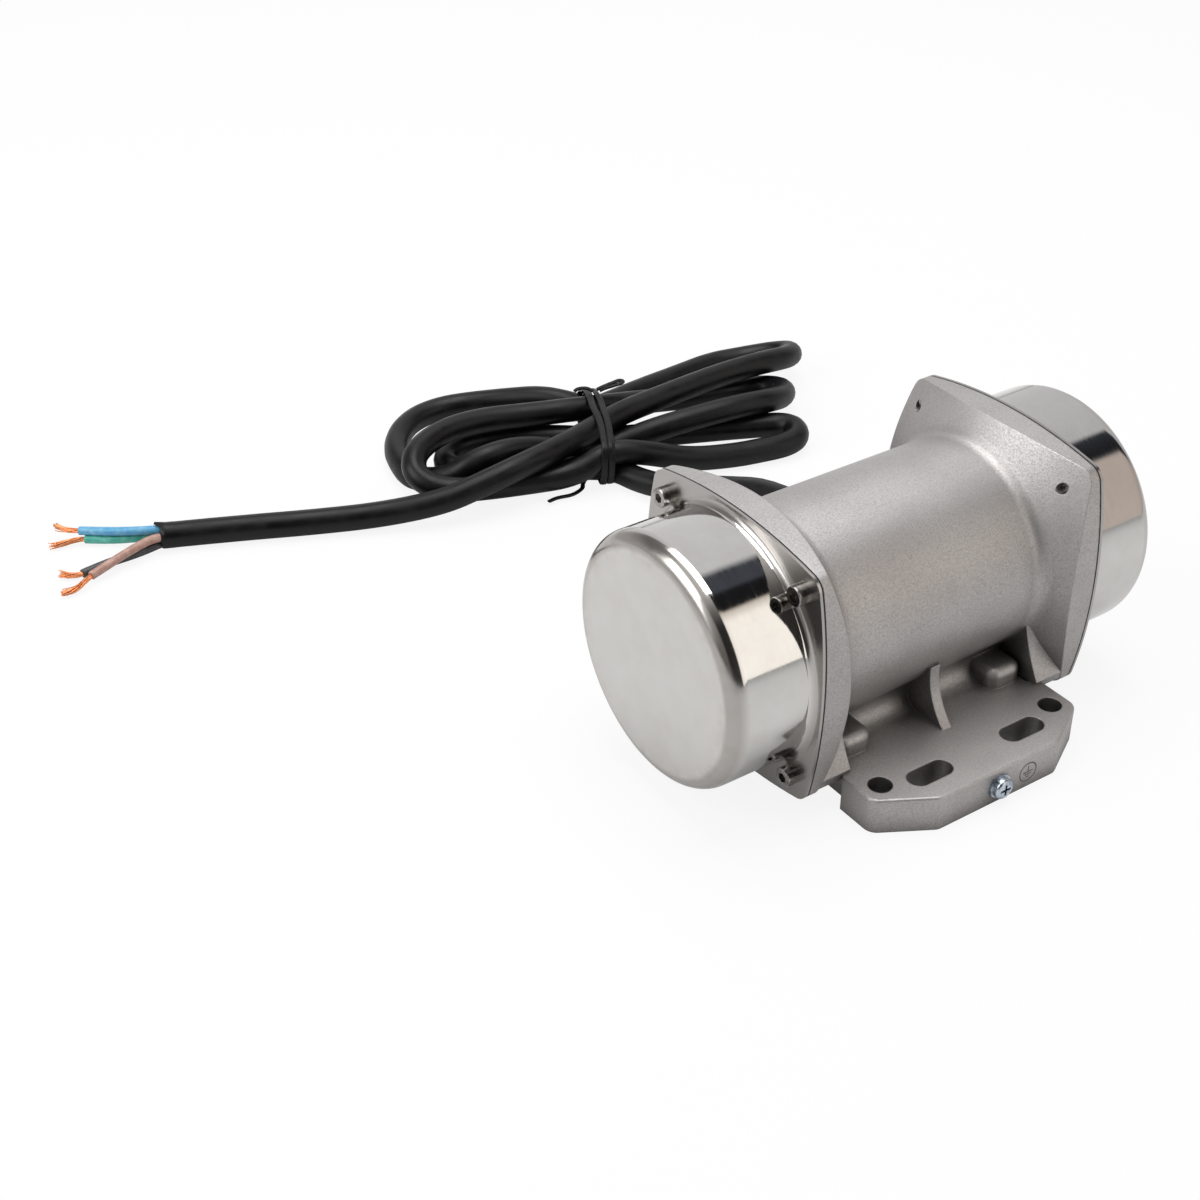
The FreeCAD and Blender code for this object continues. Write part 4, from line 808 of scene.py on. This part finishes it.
    def strands(self, label: str, points: Sequence[Vector],
                bundle: Sequence[Vector]) -> Piece:
        """Return the twisted copper strands at a core's stripped end.

        Args:
            label: Colour of the core.
            points: The core's control points.
            bundle: Points that the middle of the strands passes.

        Returns:
            One piece with all the strands.
        """
        chance = random.Random("strands " + label)
        before, end = points[-2:]
        way = (end - before).normalized()
        middle = smooth_line([end - way * 1.5 * MM, end, *bundle])
        mesh = bmesh.new()
        places = [(spread, around) for count, spread, around in self.layers
                  for _ in range(count)]
        for k, (spread, around) in enumerate(places):
            turn = math.tau * k / around + chance.uniform(-self.jitter, self.jitter)
            stray = chance.random() ** 4 * self.stray_mm * MM
            stop = len(middle) - chance.randint(0, 2)
            line = []
            for i in range(stop):
                t = i / (len(middle) - 1)
                ahead = (middle[min(i + 1, len(middle) - 1)] - middle[max(i - 1, 0)])
                side = ahead.cross(UP).normalized()
                rise = side.cross(ahead).normalized()
                out = spread * MM * (1 + self.flare * t) + stray * t ** 4
                angle = turn + self.twist * t
                line.append(middle[i] + side * out * math.cos(angle)
                            + rise * out * math.sin(angle))
            sweep(mesh, line, self.strand_radius, self.strand_radius, (UP,), 6)
        keep_off_floor(mesh)
        return piece_from("copper_strands_" + label, mesh, Look.COPPER)

    def sheath_end(self) -> Piece:
        """Return the cut end of the sheath, a rim that the cores come out of."""
        chance = random.Random("sheath end")
        before, tip = metres(self.route[-2:])
        way = (tip - before).normalized()
        side = way.cross(UP).normalized()
        up = side.cross(way).normalized()
        mesh = bmesh.new()
        long, at, narrow = self.flap
        built = []
        for out, scale in self.cut_rings:
            ring = []
            for k in range(self.cut_sides):
                angle = math.tau * k / self.cut_sides
                torn = chance.uniform(-0.2, 0.25) if out > 0 else 0.0
                flap = long * max(0.0, math.cos(angle - at)) ** narrow if out > 0 else 0.0
                radius = self.diameter / 2 * scale + flap * 0.25 * MM
                ring.append(mesh.verts.new(tip + way * (out + torn + flap) * MM
                                           + side * radius * math.cos(angle)
                                           + up * radius * math.sin(angle)))
            built.append(ring)
        join_rings(mesh, built)
        keep_off_floor(mesh)
        return piece_from("sheath_end", mesh, Look.SHEATH)


@dataclass
class TwistTie:
    """Plastic-covered wire that ties the hank: two wraps, a knot, a loop and a tail.

    Attributes:
        outline: Both wraps around the cable's passes: across, up, and along of each wrap,
            in millimetres.
        inner_up: Height in millimetres of the point that the wraps go round.
        loose_share: Share of the ribbon's width that shows in the twisted parts.
        below: Depth under a loose part of the point that its flat side turns away from.
        ridges: Height of the three ridges, as a share of the thickness.
    """

    centre: Point = (0.016, 0.157, 0.0)
    angle: float = math.radians(-20.4)
    half_wide: float = 1.2 * MM
    half_thick: float = 0.42 * MM
    inner_up: float = 8.0
    loose_share: float = 0.62
    below: float = 50.0 * MM
    sides: int = 22
    ridges: float = 0.28
    outline: tuple[tuple[float, float, float, float], ...] = (
        (15.0, 16.4, 0.2, 2.6), (6.6, 17.6, -0.4, 2.6), (0.4, 18.0, -1.0, 2.1),
        (-6.0, 18.1, -1.1, 1.6), (-12.0, 17.7, -1.3, 1.2), (-18.4, 17.0, -2.0, 0.3),
        (-24.6, 15.8, -2.9, -0.7), (-26.7, 10.3, -3.4, -1.0), (-25.1, 4.2, -3.5, -0.9),
        (-21.2, 0.7, -3.1, -0.6), (-9.0, 0.7, -2.6, 0.1), (4.0, 0.7, -1.9, 0.7),
        (16.0, 1.1, -1.2, 1.4), (22.4, 1.9, -0.8, 1.8), (26.8, 5.9, -0.4, 2.2),
        (24.1, 11.3, 0.0, 2.5), (18.6, 14.4, 0.1, 2.6))
    knot: tuple[Point, ...] = (
        (20.8, 166.4, 18.4), (19.6, 167.9, 19.1), (18, 169, 19.2), (16.6, 169.7, 18.9),
        (15.5, 169.7, 18.4))
    loop: tuple[Point, ...] = (
        (22.4, 166.2, 18.6), (25, 165.6, 19.4), (28, 165.2, 19.9), (30.6, 165, 20.2),
        (31.4, 163.8, 20.3), (30.3, 162.8, 20.2), (27.3, 163.4, 19.8), (24.7, 164.4, 19.2),
        (22.8, 165.2, 18.4))
    tail: tuple[Point, ...] = (
        (1.7, 142.5, 1.1), (-0.5, 140.5, 1.2), (-2.7, 137.9, 1.3), (-7.2, 136.6, 1.2),
        (-12.5, 137.6, 1.2), (-16.3, 136.7, 1.6))

    def spot(self, along: float, across: float, up: float) -> Vector:
        """Turn a point of the tie's own frame, in millimetres, to metres.

        Args:
            along: Place along the hank.
            across: Place across the hank.
            up: Height over the floor.

        Returns:
            The point in the motor's frame.
        """
        turned = Matrix.Rotation(self.angle, 3, "Z") @ Vector((along, across, 0))
        return Vector(self.centre) + (turned + Vector((0, 0, up))) * MM

    def build(self) -> Piece:
        """Return the whole tie as one piece."""
        mesh = bmesh.new()
        for wrap in (2, 3):
            path = [self.spot(row[wrap], row[0], row[1]) for row in self.outline]
            self.ribbon(mesh, [*path, *path[:2]], self.spot(0.0, 0.0, self.inner_up), 1.0)
        for part in (self.knot, self.loop, self.tail):
            path = metres(part)
            middle = sum(path, Vector()) / len(path)
            self.ribbon(mesh, path, middle - UP * self.below, self.loose_share)
        keep_off_floor(mesh)
        return piece_from("twist_tie", mesh, Look.TIE)

    def ribbon(self, mesh: Shape, path: Sequence[Vector], inside: Vector,
               share: float) -> None:
        """Sweep the tie's ridged section along a path, flat side away from a point.

        Args:
            mesh: Shape that gets the ribbon.
            path: Points that its middle passes, in metres.
            inside: Point that the ribbon goes round.
            share: Share of its width that shows.
        """
        line = smooth_line(path)
        sweep(mesh, line, self.half_wide * share, self.half_thick,
              [(point - inside).normalized() for point in line], self.sides, self.ridges)


@dataclass
class EarthMark:
    """Earth sign in a ring, barely proud of the foot's near edge, beside its screw.

    Attributes:
        stroke: Half width of a stroke.
        proud: Height of the strokes over the edge.
        bars: Strokes of the sign: ends (along, up) in millimetres from the centre.
    """

    centre: Point = (0.0103, -0.0553, 0.0049)
    radius: float = 2.9 * MM
    stroke: float = 0.2 * MM
    proud: float = 0.04 * MM
    ring_steps: int = 40
    sides: int = 8
    bars: tuple[tuple[tuple[float, float], tuple[float, float]], ...] = (
        ((0.0, 2.0), (0.0, 0.1)), ((-1.7, 0.1), (1.7, 0.1)), ((-1.1, -0.7), (1.1, -0.7)),
        ((-0.5, -1.5), (0.5, -1.5)))

    def build(self) -> Piece:
        """Return the ring and the sign as one thin piece."""
        mesh = bmesh.new()
        out = (Vector((0, -1, 0)),)
        turns = [math.tau * k / self.ring_steps for k in range(self.ring_steps + 1)]
        ring = [self.spot(self.radius / MM * math.cos(turn), self.radius / MM * math.sin(turn))
                for turn in turns]
        sweep(mesh, ring, self.stroke, self.proud, out, self.sides)
        for start, end in self.bars:
            middle = ((start[0] + end[0]) / 2, (start[1] + end[1]) / 2)
            sweep(mesh, [self.spot(*start), self.spot(*middle), self.spot(*end)],
                  self.stroke, self.proud, out, self.sides)
        # Painted shade: the sign's strokes take a darker grey than the casting to stand in for
        # the shade of its relief.
        return piece_from("earth_mark", mesh, Look.MARK_SHADE)

    def spot(self, along: float, up: float) -> Vector:
        """Turn a point on the foot's edge, in millimetres, to metres.

        Args:
            along: Place along the edge.
            up: Height over the sign's centre.

        Returns:
            The point in the motor's frame.
        """
        return Vector(self.centre) + Vector((along, 0, up)) * MM


@dataclass
class Motor:
    """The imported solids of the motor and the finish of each."""

    looks: dict[str, Look] = field(default_factory=lambda: {
        "housing": Look.CASTING, "front_cover": Look.COVER, "rear_cover": Look.COVER,
        "front_end_shield": Look.MACHINED_ALUMINIUM, "rear_end_shield": Look.MACHINED_ALUMINIUM,
        "earth_screw": Look.ZINC, "earth_washer": Look.ZINC,
        "gland_body": Look.GLAND, "gland_nut": Look.GLAND, "gland_seal": Look.SEAL,
        "gland_washer": Look.SEAL, "shaft": Look.SHAFT, "rotor_cage": Look.MACHINED_ALUMINIUM,
        "rotor_core": Look.LAMINATION, "stator_core": Look.LAMINATION,
        "stator_windings": Look.WINDING, "internal_leads": Look.SLEEVE})
    endings: tuple[tuple[str, Look], ...] = (
        ("_screws", Look.CAP_SCREW), ("_clamp_screw", Look.CAP_SCREW), ("_gasket", Look.GASKET),
        ("_cage", Look.CAGE), ("_balls", Look.BEARING), ("_race", Look.BEARING),
        ("_spring", Look.SPRING), ("_ring", Look.SPRING), ("_spacer", Look.SHAFT),
        ("_key", Look.SHAFT), ("_weight", Look.WEIGHT))

    def build(self, nodes: Mapping[str, Piece]) -> None:
        """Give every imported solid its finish.

        Args:
            nodes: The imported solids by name.
        """
        for name, node in nodes.items():
            look = self.looks.get(name) or self.by_ending(name)
            node.data.materials.clear()
            node.data.materials.append(look.value.material())
            LOG.info("%s: %s", name, look.name)

    def by_ending(self, name: str) -> Look:
        """Find the finish that the end of a solid's name calls for.

        Args:
            name: Name of the solid.

        Returns:
            Its finish; soft solids that no ending names are sheath rubber.
        """
        for ending, look in self.endings:
            if name.endswith(ending):
                return look
        return Look.SHEATH


@dataclass
class Studio:
    """White table, soft lamps, the room around them and the camera.

    Attributes:
        rooms: What polished metal sees, from the left end of the room to the right: the
            share to the right at which each strip ends, and its colour at each angle above
            the near horizon, in degrees. A big soft light, dark gaps and a pale ceiling.
        brightest: Strength of the rooms' white.
        border_blur: Half width over which one strip passes to the next.
        fill: Strength of the light that matt surfaces get.
        table_seen: Share of plain white in the table as the camera sees it.
        table_mirrored: The same share as polished metal sees it.
    """

    eye: Point = (-0.2932, -0.3113, 0.3165)
    right: Point = (0.83115, -0.55600, -0.00712)
    down: Point = (-0.31518, -0.46053, -0.82980)
    forward: Point = (0.45809, 0.69193, -0.55801)
    lens: float = 56.1
    brightest: float = 1.6
    border_blur: float = 0.05
    fill: float = 0.55
    table_half: float = 6.0
    table_seen: float = 0.88
    table_mirrored: float = 0.15
    rooms: tuple[tuple[float, tuple[tuple[float, str], ...]], ...] = (
        (-0.68, ((-180, "#b9b8b7"), (-10, "#b9b8b7"), (-5, "#5a5856"), (40, "#7d7b79"),
                 (62, "#a8a6a4"), (80, "#dddddd"), (120, "#dcdcdc"), (135, "#b4b2b2"),
                 (180, "#b9b8b7"))),
        (0.12, ((-180, "#b4b2b1"), (-10, "#b4b2b1"), (-7, "#322f2e"), (50, "#2b2a29"),
                (64, "#7d7a78"), (78, "#cdcccb"), (112, "#cfcfce"), (124, "#8e8c8c"),
                (132, "#747272"), (152, "#777575"), (168, "#a3a1a1"), (180, "#b4b2b1"))),
        (0.61, ((-180, "#cac9c8"), (-10, "#cac9c8"), (-7, "#fffaf3"), (50, "#fffaf3"),
                (58, "#c9c0b6"), (60, "#141416"), (74, "#161619"), (77, "#3c3f47"),
                (92, "#353840"), (98, "#c3c3c4"), (180, "#cbcbcb"))),
        (2.0, ((-180, "#cac9c8"), (-10, "#cac9c8"), (-7, "#b4a9a2"), (60, "#afa49d"),
               (64, "#37363a"), (67, "#1b1b1e"), (84, "#2b2d33"), (88, "#b4b4b6"),
               (180, "#bababc"))))

    def build(self) -> None:
        """Set up the table, the world, the lamps and the camera."""
        self.camera()
        self.table()
        self.world()
        self.lamp("softbox_above", (0.1, 0.22, 1.1), (0.1, 0.22, 0.0), (0.6, 1.0), 9.0)
        self.lamp("softbox_left", (-0.95, 0.3, 0.75), (0.0, 0.0, 0.05), (0.8, 0.8), 7.0)

    def camera(self) -> None:
        """Place the camera."""
        data = bpy.data.cameras.new("camera")
        data.lens = self.lens
        data.sensor_width = 36.0
        data.clip_start = 0.01
        made = bpy.data.objects.new("camera", data)
        turn = Matrix((self.right, [-c for c in self.down],
                       [-c for c in self.forward])).transposed()
        made.matrix_world = Matrix.Translation(self.eye) @ turn.to_4x4()
        bpy.context.scene.collection.objects.link(made)
        bpy.context.scene.camera = made

    def table(self) -> None:
        """Lay the white table that takes the motor's shadow."""
        mesh = bmesh.new()
        bmesh.ops.create_grid(mesh, x_segments=1, y_segments=1, size=self.table_half)
        data = bpy.data.meshes.new("table")
        mesh.to_mesh(data)
        mesh.free()
        made = bpy.data.objects.new("table", data)
        bpy.context.scene.collection.objects.link(made)
        paint = bpy.data.materials.new("white_table")
        paint.use_nodes = True
        tree = paint.node_tree
        tree.nodes.clear()
        matt = add_node(tree, "BsdfDiffuse", {"Color": colour("#dcdcdc")}).outputs[0]
        glow = add_node(tree, "Emission", {"Color": (1, 1, 1, 1), "Strength": 1.0}).outputs[0]
        path = add_node(tree, "LightPath").outputs
        mirrored = add_node(tree, "Math", {"operation": "MULTIPLY", 1: self.table_mirrored},
                            {0: path["Is Glossy Ray"]}).outputs[0]
        part = add_node(tree, "Math", {"operation": "MULTIPLY_ADD", 1: self.table_seen},
                        {0: path["Is Camera Ray"], 2: mirrored}).outputs[0]
        both = add_node(tree, "MixShader", {}, {0: part, 1: matt, 2: glow}).outputs[0]
        add_node(tree, "OutputMaterial", {}, {"Surface": both})
        data.materials.append(paint)

    def world(self) -> None:
        """Fill the room with soft white light and give metal something to mirror."""
        room = bpy.data.worlds.new("room")
        bpy.context.scene.world = room
        room.use_nodes = True
        tree = room.node_tree
        tree.nodes.clear()
        way = add_node(tree, "SeparateXYZ", {}, {
            "Vector": add_node(tree, "TexCoord").outputs["Generated"]}).outputs
        near = add_node(tree, "Math", {"operation": "MULTIPLY", 1: -1.0}, {0: way["Y"]})
        angle = add_node(tree, "Math", {"operation": "ARCTAN2"},
                         {0: way["Z"], 1: near.outputs[0]}).outputs[0]
        turn = add_node(tree, "MapRange", {"From Min": -math.pi, "From Max": math.pi},
                        {"Value": angle}).outputs["Result"]
        seen = self.band(tree, turn, self.rooms[0][1])
        for (border, _), (_, stops) in zip(self.rooms, self.rooms[1:]):
            beyond = add_node(tree, "MapRange", {"From Min": border - self.border_blur,
                                                 "From Max": border + self.border_blur},
                              {"Value": way["X"]}).outputs["Result"]
            seen = add_node(tree, "Mix", {"data_type": "RGBA"}, {
                "Factor": beyond, 6: seen, 7: self.band(tree, turn, stops)}).outputs[2]
        mirrored = add_node(tree, "Background", {"Strength": self.brightest}, {"Color": seen})
        soft = add_node(tree, "Background", {"Color": (1, 1, 1, 1), "Strength": self.fill})
        white = add_node(tree, "Background", {"Color": (1, 1, 1, 1), "Strength": 1.0})
        path = add_node(tree, "LightPath").outputs
        lit = add_node(tree, "MixShader", {}, {0: path["Is Glossy Ray"], 1: soft.outputs[0],
                                               2: mirrored.outputs[0]})
        both = add_node(tree, "MixShader", {}, {0: path["Is Camera Ray"], 1: lit.outputs[0],
                                                2: white.outputs[0]})
        add_node(tree, "OutputWorld", {}, {"Surface": both.outputs[0]})

    def band(self, tree: Tree, turn: Socket, stops: Sequence[tuple[float, str]]) -> Socket:
        """Return the room's colour at each angle.

        Args:
            tree: The world's node tree.
            turn: The angle, from 0 at -180 degrees to 1 at 180 degrees.
            stops: Angles in degrees with their hex colours.

        Returns:
            Colour as a share of the brightest light.
        """
        return colour_ramp(tree, turn, [((angle + 180) / 360, code) for angle, code in stops])

    def lamp(self, name: str, place: Point, aim: Point, size: tuple[float, float],
             power: float) -> None:
        """Hang a rectangular soft lamp.

        Args:
            name: Name of the lamp.
            place: Its middle, in metres.
            aim: Point that it faces.
            size: Width and height, in metres.
            power: Light that it gives, in watts.
        """
        data = bpy.data.lights.new(name, "AREA")
        data.shape = "RECTANGLE"
        data.size, data.size_y = size
        data.energy = power
        made = bpy.data.objects.new(name, data)
        made.location = place
        made.rotation_euler = (Vector(aim) - Vector(place)).to_track_quat("-Z", "Y").to_euler()
        bpy.context.scene.collection.objects.link(made)


def main() -> None:
    """Build the motor's looks in order."""
    logging.basicConfig(level=logging.INFO, format="%(name)s: %(message)s")
    bpy.context.scene.view_settings.view_transform = "Standard"
    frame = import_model()
    Studio().build()
    Motor().build(frame["nodes"])
    tie = TwistTie().build()
    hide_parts("cable_tie")
    Cable().build(tie)
    EarthMark().build()
    bpy.context.view_layer.update()


if __name__ == "__main__":
    main()
